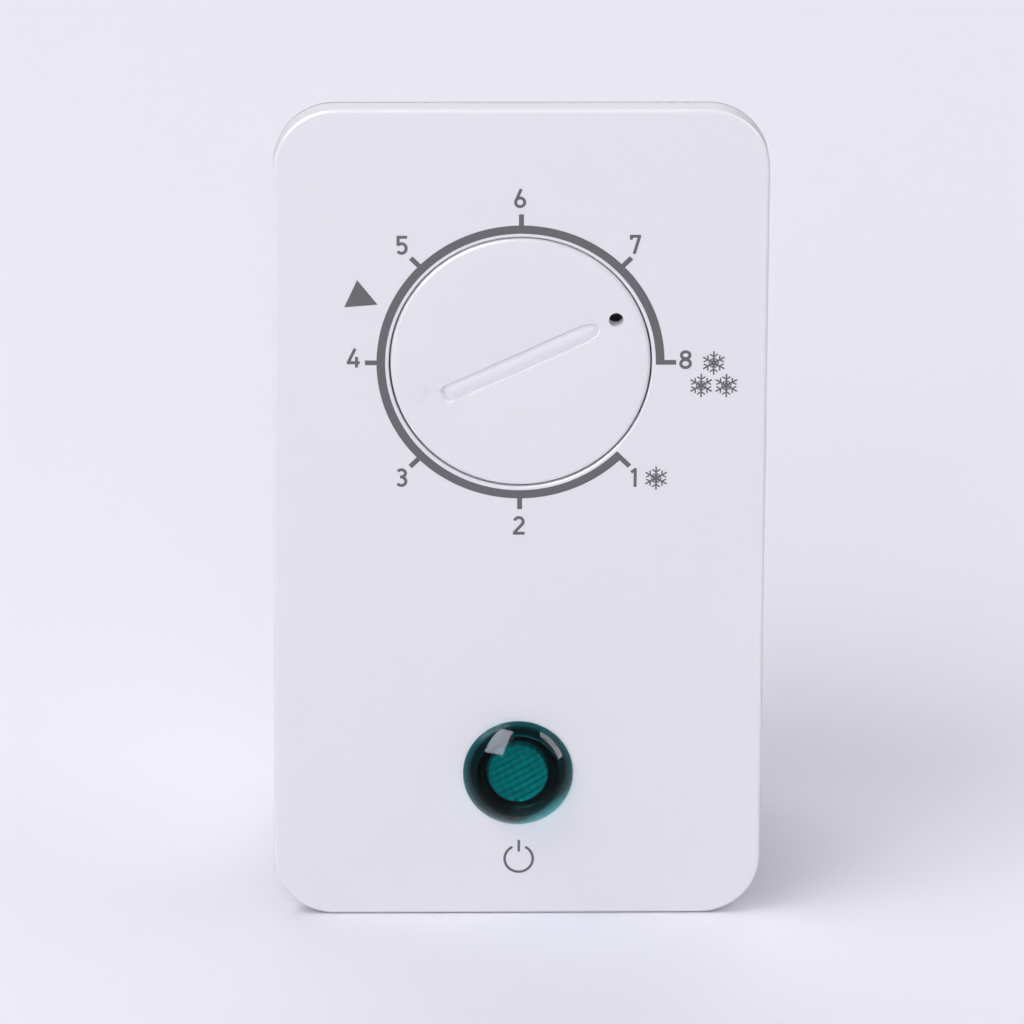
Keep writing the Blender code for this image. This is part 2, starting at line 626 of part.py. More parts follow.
def switch_parts(surfaces, at):
    """Moulded base that closes the frame, the contact pair and the two push-on tabs."""
    half = FRAME_HALF - SHEET - GAP
    base = slab("switch_base", (-half, BASE_FRONT, -22.0), (half, BASE_REAR, 14.0), surfaces["phenolic"], at)
    weld(base, slab("blade_pad", (5.0, 36.5, -20.0), (10.0, BASE_FRONT + 0.5, -14.5), at=at))
    contact = (BLADE_X, 8.0)
    rivets = ((BLADE_X, -17.2), (-BLADE_X, -17.2))
    for index, spot in enumerate((contact,) + rivets):
        cut(base, rod(f"base_hole_{index}", "Y", 1.2, 35.0, 46.0, 12, at=at, centre=spot))

    blade_y, blade_z = BLADE_PIVOT
    blade_at = (at[0], at[1] + blade_y, at[2] + blade_z)
    blade = slab("moving_contact_blade", (5.5, -0.15, -5.5), (9.5, 0.15, 24.0), surfaces["copper"], blade_at)
    weld(blade, rod("blade_button", "Y", 1.4, 0.0, 0.65, 14, at=blade_at,
                    centre=(BLADE_X, contact[1] - blade_z)))
    cut(blade, rod("blade_hole", "Y", 1.3, -1.0, 1.0, 12, at=blade_at,
                   centre=(BLADE_X, rivets[0][1] - blade_z)))

    face = blade_y + 0.65 + 0.87
    turned("fixed_contact", [(0.0, face), (1.8, face), (1.8, BASE_FRONT - GAP), (0.9, BASE_FRONT - GAP),
                             (0.9, 45.6), (0.0, 45.6)], "Y", 14, surfaces["silver"], at, contact)

    tab_front = BASE_REAR + GAP
    tab_rear = tab_front + TAB[1]
    half_tab = TAB[0] / 2.0
    right, left = BLADE_X, -BLADE_X
    common = prism("terminal_common", [
        (right - half_tab, TAB_END + 1.0), (right - half_tab + 0.8, TAB_END),
        (right + half_tab - 0.8, TAB_END),
        (right + half_tab, TAB_END + 1.0), (right + half_tab, -13.0), (right - half_tab, -13.0),
    ], "Y", tab_front, tab_rear, surfaces["brass"], at)
    switched = prism("terminal_switched", [
        (left - half_tab, TAB_END + 1.0), (left - half_tab + 0.8, TAB_END), (left + half_tab - 0.8, TAB_END),
        (left + half_tab, TAB_END + 1.0), (left + half_tab, 5.0), (right + half_tab, 5.0),
        (right + half_tab, 11.0), (left - half_tab, 11.0),
    ], "Y", tab_front, tab_rear, surfaces["brass"], at)
    cut(common, rod("common_hole", "Y", 1.2, 43.0, 47.0, 12, at=at, centre=rivets[0]))
    cut(switched, rod("switched_hole", "Y", 1.2, 43.0, 47.0, 12, at=at, centre=rivets[1]),
        rod("switched_contact_hole", "Y", 1.2, 43.0, 47.0, 12, at=at, centre=contact))

    for name, spot, front in zip(("blade_rivet", "terminal_rivet"), rivets, (35.0, 37.3)):
        profile = [(0.0, front), (1.9, front), (1.9, front + 0.6), (0.9, front + 0.6), (0.9, tab_rear + GAP),
                   (1.9, tab_rear + GAP), (1.6, tab_rear + 0.9), (0.0, tab_rear + 0.9)]
        turned(name, profile, "Y", 12, surfaces["brass"], at, spot)


def earth_tab(surfaces, at):
    side = -FRAME_HALF - GAP
    width = TAB[0]
    outline = [(27.0, TAB_END), (28.0, TAB_END - 1.0), (27.0 + width - 1.0, TAB_END - 1.0),
               (27.0 + width, TAB_END), (27.0 + width, -14.0), (27.0, -14.0)]
    return prism("earth_tab", outline, "X", side - TAB[1], side, surfaces["brass"], at)


def capillary_tube(surfaces):
    """From the bellows cup, round a coil beside the frame, to its bushing in the rear wall."""
    start = DIAL_Z + FRAME_BOTTOM + SHEET
    lead_in = [(0.0, BELLOWS_DEPTH, start), (0.0, BELLOWS_DEPTH, start - 5.0), (-3.0, 20.5, start - 10.5),
               (-10.0, 20.8, start - 13.0), (-17.5, 20.5, start - 10.0), (-20.3, 20.2, start - 2.0)]
    coil_y, coil_z, coil_radius, turns = 29.0, 10.0, 8.8, 2.25
    per_turn = 16
    coil = []
    for step in range(int(turns * per_turn) + 1):
        angle = math.pi - math.tau * step / per_turn
        x = -19.4 - 2.4 * step / per_turn
        coil.append((x, coil_y + coil_radius * math.cos(angle), coil_z + coil_radius * math.sin(angle)))
    entry_x, entry_z = CAPILLARY_ENTRY
    lead_out = [(-24.5, 37.9, 5.5), (-23.0, 39.5, -2.0), (-20.8, 43.0, -6.8), (entry_x, 47.0, entry_z),
                (entry_x, BOX_REAR - 0.3, entry_z)]
    route = smooth_route(lead_in + coil + lead_out, 1)
    return wire("capillary_tube", route, CAPILLARY_RADIUS, surfaces["copper"])


# ---------------------------------------------------------------- lamp

def lamp(surfaces):
    at = (0.0, 0.0, LAMP_Z)
    seat = PANEL_FRONT - GAP
    dome_height = LENS_HEIGHT - LENS_RIM
    sphere = (LENS_RADIUS ** 2 + dome_height ** 2) / (2.0 * dome_height)
    widest = math.asin(LENS_RADIUS / sphere)
    dome = [(0.0, seat - LENS_HEIGHT)]
    for turn in range(1, 7):
        angle = widest * turn / 6
        dome.append((sphere * math.sin(angle), seat - LENS_HEIGHT + sphere * (1.0 - math.cos(angle))))
    turned("lamp_lens", dome + [(LENS_RADIUS, seat), (5.2, seat), (5.2, 0.0), (4.5, 0.0),
                                (4.5, LENS_SOLID), (0.0, LENS_SOLID)], "Y", 32, surfaces["lens_green"], at)
    rod("lamp_diffuser", "Y", 3.8, LENS_SOLID + GAP, LENS_SOLID + GAP + 0.8, 24, surfaces["diffuser"], at)

    wall = 1.5
    body = turned("lamp_body", [
        (0.0, LAMP_REAR), (LAMP_BARREL, LAMP_REAR), (LAMP_BARREL, PANEL_FRONT), (LAMP_BORE, PANEL_FRONT),
        (LAMP_BORE, LAMP_REAR - wall), (0.0, LAMP_REAR - wall)], "Y", 28, surfaces["nylon_black"], at)
    half_tab = TAB[0] / 2.0
    for side, name in ((-1, "left"), (1, "right")):
        x = side * 3.2
        cut(body, slab(f"lamp_slot_{name}", (x - 0.7, LAMP_REAR - 3.0, -half_tab - GAP),
                       (x + 0.7, LAMP_REAR + 1.0, half_tab + GAP), at=at))
        outline = [(16.5, -half_tab), (28.0, -half_tab), (28.8, -half_tab + 0.8),
                   (28.8, half_tab - 0.8), (28.0, half_tab), (16.5, half_tab)]
        prism(f"lamp_terminal_{name}", outline, "X", x - 0.4, x + 0.4, surfaces["brass"], at)

    turned("lamp_retainer", [(LAMP_BARREL + GAP, -2.1), (8.8, -2.1), (8.8, -1.7), (8.0, -1.4),
                             (LAMP_BARREL + GAP, -1.4)], "Y", 24, surfaces["spring_steel"], at)
    bulb = [(0.0, -2.2), (1.0, -1.8), (2.0, -0.8), (2.4, 0.6), (2.4, 9.5), (1.2, 10.6), (0.0, 10.6)]
    turned("neon_bulb", bulb, "Y", 14, surfaces["glass"], at, (-1.6, 0.0))
    resistor = [(0.0, 3.0), (0.95, 3.0), (0.95, 4.2), (0.8, 4.5), (0.8, 7.7), (0.95, 8.0), (0.95, 9.2),
                (0.0, 9.2)]
    turned("neon_resistor", resistor, "Y", 10, surfaces["resistor_tan"], at, (3.5, 0.0))


# ---------------------------------------------------------------- box

def box_body(name, depths, wall):
    """Body of the box, drawn in by `wall`: its top slopes down between the second and third depths."""
    loops = []
    for depth, top in zip(depths, (BOX_TOP, BOX_TOP, BOX_REAR_TOP, BOX_REAR_TOP)):
        outline = rounded_rectangle(BOX_WIDTH - 2 * wall, top - BOX_BOTTOM - 2 * wall, BOX_CORNER - wall, 4)
        middle = (top + BOX_BOTTOM) / 2.0
        loops.append(([(x, z + middle) for x, z in outline], depth))
    return lofted(name, loops)


def back_box(surfaces):
    """Deep moulded box with a flange, snap windows, wire entries and posts for the block."""
    box = prism("back_box", rounded_rectangle(FLANGE_WIDTH, FLANGE_HEIGHT, 6.7, 5), "Y", -FLANGE, 0.0,
                surfaces["box_white"])
    slope, end = SHOULDER
    weld(box, box_body("box_shell", (-FLANGE + 0.5, slope, end, BOX_REAR), 0.0))
    cut(box, box_body("box_hollow", (-FLANGE - 2.0, slope - SHOULDER_SET_BACK, end - SHOULDER_SET_BACK,
                                BOX_REAR - BOX_WALL), BOX_WALL))
    for clip in CLIP_HEIGHTS:
        cut(box, slab(f"clip_windows_{clip}", (-BOX_WIDTH, 4.6, clip - 4.0), (BOX_WIDTH, 8.9, clip + 4.0)))
    for x in (-SCREW_X, SCREW_X):
        for z in (-SCREW_Z, SCREW_Z):
            profile = [(0.0, -FLANGE - 0.5), (3.7, -FLANGE - 0.5), (3.3, -FLANGE), (1.8, -0.2),
                       (1.8, 1.0), (0.0, 1.0)]
            cut(box, turned(f"screw_hole_{x}_{z}", profile, "Y", 16, centre=(x, z)))
    for name, spot, radius in (("cable", CABLE_ENTRY, 5.8), ("capillary", CAPILLARY_ENTRY, 3.3)):
        cut(box, rod(f"{name}_hole", "Y", radius, BOX_REAR - 4.0, BOX_REAR + 2.0, 20, centre=spot))
    for side in (-1, 1):
        spot = (side * BLOCK_SCREW_X, (BLOCK_TOP + BLOCK_BOTTOM) / 2.0)
        weld(box, rod(f"block_post_{side}", "Y", 3.0, BLOCK_REAR + GAP, BOX_REAR - 0.5, 14, centre=spot))
        cut(box, rod(f"post_hole_{side}", "Y", 1.5, BLOCK_REAR - 1.0, BOX_REAR - 0.6, 10, centre=spot))
    return box


def wall_screws(surfaces):
    for column, x in (("left", -SCREW_X), ("right", SCREW_X)):
        for row, z in (("lower", -SCREW_Z), ("upper", SCREW_Z)):
            profile = [(0.0, -FLANGE), (2.8, -FLANGE), (1.4, -0.2), (1.4, 9.0), (0.0, 11.0)]
            turned(f"wall_screw_{row}_{column}", profile, "Y", 12, surfaces["zinc_steel"], centre=(x, z))


def grommet(name, surfaces, spot, hole, bore):
    """Rubber bushing with a lip on each side of the box's rear wall."""
    inside = BOX_REAR - BOX_WALL - GAP
    outside = BOX_REAR + GAP
    neck = hole - GAP
    profile = [(bore, inside - 1.2), (hole + 1.0, inside - 1.2), (hole + 1.4, inside), (neck, inside),
               (neck, outside), (hole + 1.4, outside), (hole + 1.0, outside + 1.2), (bore, outside + 1.2)]
    return turned(name, profile, "Y", 20, surfaces["rubber"], centre=spot)


# ---------------------------------------------------------------- wiring

def way_x(index):
    return (index - (WAYS - 1) / 2.0) * WAY_PITCH


def terminal_block(surfaces):
    """Moulded block with a bore for each way, a screw well over it, and two fixing screws."""
    middle = (BLOCK_TOP + BLOCK_BOTTOM) / 2.0
    block = slab("terminal_block", (-BLOCK_HALF, BLOCK_FRONT, BLOCK_BOTTOM),
                 (BLOCK_HALF, BLOCK_REAR, BLOCK_TOP), surfaces["nylon_natural"])
    for index in range(WAYS):
        x = way_x(index)
        cut(block, rod(f"way_{index}", "Z", 2.5, BLOCK_BOTTOM - 1.0, BLOCK_TOP + 1.0, 10,
                       centre=(x, WAY_DEPTH)),
            rod(f"way_screw_{index}", "Y", 1.9, BLOCK_FRONT - 1.0, WAY_DEPTH, 8, centre=(x, middle)))
    for side, name in ((-1, "left"), (1, "right")):
        spot = (side * BLOCK_SCREW_X, middle)
        cut(block, rod(f"fixing_hole_{name}", "Y", 1.6, BLOCK_FRONT - 1.0, BLOCK_REAR + 1.0, 10, centre=spot))
        head = BLOCK_FRONT - GAP
        profile = [(0.0, head - 1.6), (1.6, head - 1.6), (2.4, head - 0.8), (2.4, head), (1.2, head),
                   (1.2, BLOCK_REAR + 1.5), (0.0, BLOCK_REAR + 2.1)]
        turned(f"block_screw_{name}", profile, "Y", 12, surfaces["zinc_steel"], centre=spot)
    return block


def receptacle(name, surface, tip, axis, across):
    """Push-on receptacle over a tab's end: `axis` leads away from the tab, `across` is its width."""
    other = axis.cross(across)
    corner = Vector(tip)

    def block(label, back, front, half_across, half_other, paint=None):
        bm = bmesh.new()
        bmesh.ops.create_cube(bm, size=2.0)
        for vert in bm.verts:
            a, b, c = vert.co
            vert.co = corner + across * (a * half_across) + other * (b * half_other)
            vert.co += axis * (back + (front - back) * (c + 1.0) / 2.0)
        return add_object(label, bm, paint)

    def barrel(label, back, front, radius):
        bm = bmesh.new()
        ends = []
        for reach in (back, front):
            ring = []
            for step in range(12):
                angle = math.tau * step / 12
                offset = across * (radius * math.cos(angle)) + other * (radius * math.sin(angle))
                ring.append(bm.verts.new(corner + axis * reach + offset))
            ends.append(ring)
        for step in range(12):
            follow = (step + 1) % 12
            bm.faces.new((ends[0][step], ends[0][follow], ends[1][follow], ends[1][step]))
        bm.faces.new(ends[0])
        bm.faces.new(ends[1])
        return add_object(label, bm, None)

    body = block(name, -7.0, 1.2, TAB[0] / 2.0 + 0.8, 1.4, surface)
    weld(body, barrel(f"{name}_crimp", 0.8, CRIMP_LENGTH - 7.0, 1.8))
    cut(body, block(f"{name}_mouth", -8.0, 0.4, TAB[0] / 2.0 + 0.4, 0.75),
        barrel(f"{name}_socket", 1.4, CRIMP_LENGTH, LEAD_RADIUS + GAP))
    return body


def leads(surfaces):
    """Five leads: each runs from its receptacle to its way in the terminal block."""
    down = Vector((0.0, 0.0, -1.0))
    rear = Vector((0.0, 1.0, 0.0))
    wide_x = Vector((1.0, 0.0, 0.0))
    wide_y = Vector((0.0, 1.0, 0.0))
    wide_z = Vector((0.0, 0.0, 1.0))
    tab_y = BASE_REAR + GAP + TAB[1] / 2.0
    tab_tip = DIAL_Z + TAB_END
    earth_x = -FRAME_HALF - GAP - TAB[1] / 2.0
    earth_y = 27.0 + TAB[0] / 2.0
    lamp_tip = 28.8
    top_entry = BLOCK_TOP - 3.5
    low_entry = BLOCK_BOTTOM + 3.5
    reach = 2.0                     # from a tab's tip to where its lead starts, inside the crimp

    spots = {
        "common": ((BLADE_X, tab_y, tab_tip), down, wide_x),
        "switched": ((-BLADE_X, tab_y, tab_tip), down, wide_x),
        "earth": ((earth_x, earth_y, tab_tip - 1.0), down, wide_y),
        "lamp_left": ((-3.2, lamp_tip, LAMP_Z), rear, wide_z),
        "lamp_right": ((3.2, lamp_tip, LAMP_Z), rear, wide_z),
    }
    for key, (tip, axis, across) in spots.items():
        receptacle(f"receptacle_{key}", surfaces["brass"], tip, axis, across)

    def start(key, further=0.0):
        tip, axis, _ = spots[key]
        return Vector(tip) + axis * (reach + further)

    wire("wire_live_in", smooth_route([
        start("common"), start("common", 4.0), (5.0, 43.6, -17.4), (1.2, 42.7, -20.6),
        (way_x(2), WAY_DEPTH, -23.0), (way_x(2), WAY_DEPTH, top_entry)], 3),
         LEAD_RADIUS, surfaces["lead_brown"])
    wire("wire_switched", smooth_route([
        start("switched"), start("switched", 4.0), (-9.5, 43.6, -17.4), (-12.9, 42.7, -20.6),
        (way_x(0), WAY_DEPTH, -23.0), (way_x(0), WAY_DEPTH, top_entry)], 3),
         LEAD_RADIUS, surfaces["lead_black"])
    wire("wire_earth", smooth_route([
        start("earth"), start("earth", 4.5), (-14.0, 32.5, -18.2), (-9.5, 37.0, -19.8),
        (-7.2, 41.0, -20.6), (way_x(1), WAY_DEPTH, -23.2), (way_x(1), WAY_DEPTH, top_entry)], 3),
        LEAD_RADIUS, surfaces["lead_earth"])
    wire("wire_live_lamp", smooth_route([
        start("lamp_right"), start("lamp_right", 4.5), (4.6, 38.4, -40.6), (6.4, 41.6, -39.6),
        (way_x(3), WAY_DEPTH, -36.0), (way_x(3), WAY_DEPTH, -32.5), (way_x(3), WAY_DEPTH, low_entry)], 3),
        LEAD_RADIUS, surfaces["lead_brown"])
    wire("wire_neutral_lamp", smooth_route([
        start("lamp_left"), start("lamp_left", 4.5), (-1.5, 38.6, -42.6), (4.0, 41.6, -44.6),
        (10.0, 42.8, -43.6), (13.4, WAY_DEPTH, -39.0), (way_x(4), WAY_DEPTH, -34.5),
        (way_x(4), WAY_DEPTH, low_entry)], 3), LEAD_RADIUS, surfaces["lead_blue"])


def build():
    clear_scene()
    surfaces = make_materials()
    dial = (0.0, 0.0, DIAL_Z)
    range_at = (0.0, RANGE_PIVOT[0], DIAL_Z + RANGE_PIVOT[1])
    main_at = (0.0, MAIN_PIVOT[0], DIAL_Z + MAIN_PIVOT[1])

    front_panel(surfaces)
    back_box(surfaces)
    wall_screws(surfaces)
    grommet("cable_grommet", surfaces, CABLE_ENTRY, 5.8, CABLE_BORE)
    grommet("capillary_grommet", surfaces, CAPILLARY_ENTRY, 3.3, CAPILLARY_RADIUS + GAP)

    dial_knob(surfaces, dial)
    knob_spring_clip(surfaces, dial)
    mounting_nut(surfaces, dial)
    lock_washer(surfaces, dial)
    thermostat_frame(surfaces, dial)
    spindle_bush(surfaces, dial)
    spindle(surfaces, dial)
    spindle_cam(surfaces, dial)
    range_lever(surfaces, range_at)
    main_lever(surfaces, main_at)
    lever_pin("range_lever_pin", surfaces, RANGE_PIVOT, dial)
    lever_pin("main_lever_pin", surfaces, MAIN_PIVOT, dial)
    range_spring(surfaces, dial)
    bellows_parts(surfaces, dial)
    calibration_screw(surfaces, dial)
    switch_parts(surfaces, dial)
    earth_tab(surfaces, dial)
    capillary_tube(surfaces)

    lamp(surfaces)
    terminal_block(surfaces)
    leads(surfaces)


build()
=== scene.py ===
"""Looks of the wall thermostat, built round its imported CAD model.

Lengths are millimetres until a mesh is made. +X is right, +Y goes into the wall, +Z is up.
"""
import json
import math

import bmesh
import bpy
from mathutils import Matrix, Vector


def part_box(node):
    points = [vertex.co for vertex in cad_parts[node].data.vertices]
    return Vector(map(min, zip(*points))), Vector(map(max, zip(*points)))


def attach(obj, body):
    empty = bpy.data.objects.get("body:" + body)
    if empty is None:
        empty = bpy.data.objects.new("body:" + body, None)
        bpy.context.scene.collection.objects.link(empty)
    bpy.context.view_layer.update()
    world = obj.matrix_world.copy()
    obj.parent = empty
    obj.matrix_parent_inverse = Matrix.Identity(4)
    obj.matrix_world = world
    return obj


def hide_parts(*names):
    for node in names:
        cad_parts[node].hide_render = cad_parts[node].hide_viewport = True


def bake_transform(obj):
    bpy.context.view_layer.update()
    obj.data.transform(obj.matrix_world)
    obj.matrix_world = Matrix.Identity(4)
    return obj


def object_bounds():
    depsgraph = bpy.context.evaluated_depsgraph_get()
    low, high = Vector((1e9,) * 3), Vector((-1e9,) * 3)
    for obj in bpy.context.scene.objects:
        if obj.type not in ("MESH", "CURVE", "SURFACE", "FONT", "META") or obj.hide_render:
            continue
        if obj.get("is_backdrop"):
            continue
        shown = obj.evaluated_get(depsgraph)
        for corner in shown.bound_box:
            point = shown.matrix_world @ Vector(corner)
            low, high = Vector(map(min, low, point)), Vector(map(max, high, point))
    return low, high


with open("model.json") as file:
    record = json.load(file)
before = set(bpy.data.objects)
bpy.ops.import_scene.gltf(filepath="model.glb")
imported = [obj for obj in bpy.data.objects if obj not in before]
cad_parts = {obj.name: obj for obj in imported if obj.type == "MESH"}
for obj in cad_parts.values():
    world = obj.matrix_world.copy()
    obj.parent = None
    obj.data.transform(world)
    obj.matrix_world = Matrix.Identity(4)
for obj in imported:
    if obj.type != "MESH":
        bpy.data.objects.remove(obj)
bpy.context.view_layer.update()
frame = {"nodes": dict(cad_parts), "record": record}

MM = 0.001


def corners(node):
    """Lowest and highest corners of a CAD node, in millimetres."""
    low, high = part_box(node)
    return low / MM, high / MM


def middle(node):
    low, high = corners(node)
    return (low + high) / 2.0


def flat(place):
    """The same place with no depth, for shapes whose points hold their own depth."""
    return (place.x, 0.0, place.z)


# ---------------------------------------------------------------- driving places, from the frame

PANEL_LOW, PANEL_HIGH = corners("front_panel")
PANEL_FRONT = PANEL_LOW.y
PANEL_WIDTH = PANEL_HIGH.x - PANEL_LOW.x
PANEL_HEIGHT = PANEL_HIGH.z - PANEL_LOW.z
KNOB_LOW, KNOB_HIGH = corners("dial_knob")
DIAL = middle("dial_knob")
KNOB_RADIUS = (KNOB_HIGH.x - KNOB_LOW.x) / 2.0
LENS_LOW, LENS_HIGH = corners("lamp_lens")
LAMP = middle("lamp_lens")
LENS_RADIUS = (LENS_HIGH.x - LENS_LOW.x) / 2.0
BOX_LOW, BOX_HIGH = corners("back_box")
BLOCK_LOW, BLOCK_HIGH = corners("terminal_block")

# ---------------------------------------------------------------- detail sizes, in millimetres

ROUND = 144                     # sides of the dial and its dish
PANEL_CORNER = 8.7
PANEL_EDGE = 0.5                # radius rolled round the front edge
PANEL_RIM = 0.25                # radius of the rim that faces the wall
PANEL_REAR = -0.2
PANEL_WALL = 1.8
DISH_RADIUS = 18.66
DISH_LIP = 0.3                  # radius at the dish's mouth
DISH_DRAFT = 0.1                # how much the dish narrows towards its floor
DISH_FLOOR = 8.5
DISH_WALL = 1.55
BUSH_HOLE = 5.1
LAMP_HOLE = 6.5

KNOB_EDGE = 0.6
KNOB_DISC = 2.4
KNOB_SKIRT_END = 1.5
KNOB_HUB = 5.5
SPINDLE_HOLE = 3.3
POINTER_ANGLE = 25.0            # degrees anticlockwise from +X, seen from the front
POINTER_RADIUS = 14.9
POINTER_HOLE = 1.0
POINTER_LIP = (0.07, 0.16)      # width and depth of the chamfer at the hole's mouth
SLOT_LENGTH = 24.5
SLOT_WIDTH = 2.7
SLOT_DEPTH = 0.58               # along its sides
SLOT_CROWN = 0.38               # rise of its floor towards the middle
SLOT_RAMP = 0.5                 # length over which its left end runs out

LENS_RIM = 0.25
LENS_SEAT = -4.34               # underside of the lens, on the panel
LENS_SOLID = -3.9               # depth to which the lens is solid
SPIGOT = 5.2
SPIGOT_BORE = 4.5
DISC_RADIUS = 3.42
DISC_DEPTH = -3.8
DISC_THICKNESS = 0.8
PRISM_RIDGES = ((1.06, 0.72, 0.2), (-0.35, 0.95, 0.1))     # lean in radians, pitch and height of each set

INK_RAISE = 0.025               # thickness of the print
INK_SINK = 0.02                 # how far the print's solid goes into the panel
INK_FRONT, INK_BACK = PANEL_FRONT - INK_RAISE, PANEL_FRONT + INK_SINK
PRINT_CREASE = 20.0             # degrees at which the print's edges stay sharp
SCALE_RADIUS = 19.8             # middle of the printed ring's line
SCALE_LINE = 1.22
SCALE_SPAN = 315.0              # degrees from the first tick round to the last
SETTINGS = 8
TICK_REACH = 22.05
TICK_WIDTH = 0.7
DIGIT_STROKE = 0.44
DIGIT_HALF = 1.41               # half a digit's height
FLAKE_RADIUS = 1.75
FLAKE_COLD = (27.4, -0.1)       # top flake of the cold setting, from the dial's centre
FLAKE_MILD = (19.4, -17.4)
FLAKE_PAIR = ((-1.75, -3.38), (1.83, -3.38))    # the two flakes below the top one, from it
FACTORY_MARK = ((-24.99, 8.3), (-20.27, 8.68), (-23.16, 12.35))     # triangle, from the dial's centre
POWER_SIGN = (0.2, -13.35)      # middle of the power sign, from the lamp's centre
POWER_RADIUS = 2.03
POWER_STROKE = 0.37

BOX_WIDTH = 56.0
BOX_TOP = 50.0
BOX_REAR_TOP = 43.5
BOX_BOTTOM = -50.0
BOX_CORNER = 4.0
BOX_WALL = 1.8
BOX_EDGE = 1.2                  # radius of the rear edges
SHOULDER = (14.0, 22.0)
FLANGE = 1.6
FLANGE_CORNER = 6.7
RIB_HEIGHTS = (-27.0, 13.0, 29.0)
RIB_WIDTH = 1.2
RIB_RAISE = 0.7
RIB_END = 44.0                  # depth at which the side ribs stop
CLIP_HEIGHTS = (-44.0, -10.0, 44.0)
WINDOW = (4.6, 8.9, 8.0)        # front, back and height of the windows that the hooks catch in
CABLE_ENTRY = middle("cable_grommet")
CAPILLARY_ENTRY = middle("capillary_grommet")
CABLE_HOLE = 5.8
CAPILLARY_HOLE = 3.3
CABLE_BORE = 3.6
CAPILLARY_BORE = 1.3
GROMMET_LIP = 1.2
THREAD_PITCH = 1.1
THREAD_ROOT = 1.12
THREAD_CREST = 0.28             # how far the thread stands out from its root
SCREW_NECK = 2.0                # from a wall screw's head to the start of its thread
SCREW_POINT = 2.2               # length over which a wall screw tapers to its tip
SPRING_WIRE = 0.4               # radius of the range spring's wire
SPRING_TURNS = 6
SPRING_EYE = 1.9                # half the length of each cross hook
SPRING_LEAD = (3.0, 3.4)        # from each hook to the coil, below and above
SPRING_DROP = 0.16              # how low the lower hook hangs, to clear the lever as it tilts
BARREL = (1.5, 2.2)             # bore and outer radius of a terminal's barrel
BARREL_EDGE = 0.2
CLAMP_SCREW = 1.3               # radius of a clamp screw
CLAMP_SCREW_LENGTH = 3.25
BLOCK_SCREW_X = 18.5
WAYS = 5
WAY_PITCH = 7.0


# ---------------------------------------------------------------- meshes

def add_piece(name, bm, surface=None):
    """Object from a mesh in millimetres, its faces turned outwards."""
    bmesh.ops.remove_doubles(bm, verts=bm.verts, dist=1e-4)
    bmesh.ops.recalc_face_normals(bm, faces=bm.faces)
    bmesh.ops.scale(bm, vec=(MM, MM, MM), verts=bm.verts)
    mesh = bpy.data.meshes.new(name)
    bm.to_mesh(mesh)
    bm.free()
    piece = bpy.data.objects.new(name, mesh)
    bpy.context.scene.collection.objects.link(piece)
    if surface:
        mesh.materials.append(surface)
    return piece


def combine(piece, operation, tools):
    """Apply a Boolean with each tool, then remove the tools."""
    for tool in tools:
        modifier = piece.modifiers.new(tool.name, "BOOLEAN")
        modifier.operation = operation
        modifier.solver = "EXACT"
        modifier.object = tool
    graph = bpy.context.evaluated_depsgraph_get()
    mesh = bpy.data.meshes.new_from_object(piece.evaluated_get(graph))
    piece.modifiers.clear()
    piece.data = mesh
    for tool in tools:
        bpy.data.objects.remove(tool)
    return piece


def cut(piece, *tools):
    return combine(piece, "DIFFERENCE", tools)


def weld(piece, *tools):
    return combine(piece, "UNION", tools)


def seat(piece, body="root", stands_for=(), crease=32.0):
    """Shade a piece smooth between its creases and tie it to its CAD body."""
    piece.data.shade_smooth()
    piece.data.set_sharp_from_angle(angle=math.radians(crease))
    weights = piece.modifiers.new("face_weights", "WEIGHTED_NORMAL")
    weights.keep_sharp = True
    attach(piece, body)
    if stands_for:
        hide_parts(*stands_for)
    return piece


def arc(centre, radii, start, end, steps):
    """Points along an arc or a stretch of an ellipse, angles in degrees."""
    wide, high = radii
    points = []
    for step in range(steps + 1):
        angle = math.radians(start + (end - start) * step / steps)
        points.append((centre[0] + wide * math.cos(angle), centre[1] + high * math.sin(angle)))
    return points


def circle(radius, steps):
    return arc((0.0, 0.0), (radius, radius), 0.0, 360.0 - 360.0 / steps, steps - 1)


def rounded_rectangle(width, height, radius, steps=16, shift=0.0):
    points = []
    for x_side, z_side, start in ((1, 1, 0.0), (-1, 1, 90.0), (-1, -1, 180.0), (1, -1, 270.0)):
        centre = (x_side * (width / 2.0 - radius), z_side * (height / 2.0 - radius) + shift)
        points += arc(centre, (radius, radius), start, start + 90.0, steps)
    return points


def skin(bm, rings, closed=False):
    """Faces from each ring of vertices to the next, with a face over each end unless the rings close up."""
    for one, two in zip(rings, rings[1:] + rings[:1] if closed else rings[1:]):
        for step in range(len(one)):
            follow = (step + 1) % len(one)
            bm.faces.new((one[step], one[follow], two[follow], two[step]))
    if not closed:
        bm.faces.new(rings[0])
        bm.faces.new(rings[-1])


def loft(name, loops, surface=None, at=(0.0, 0.0, 0.0)):
    """Skin through outlines of (x, z) points, each at its own depth."""
    bm = bmesh.new()
    shift = Vector(at)
    skin(bm, [[bm.verts.new(Vector((x, depth, z)) + shift) for x, z in outline] for outline, depth in loops])
    return add_piece(name, bm, surface)


def prism(name, outline, low, high, surface=None, at=(0.0, 0.0, 0.0)):
    """Solid with one outline of (x, z) points from depth `low` to depth `high`."""
    return loft(name, [(outline, low), (outline, high)], surface, at)


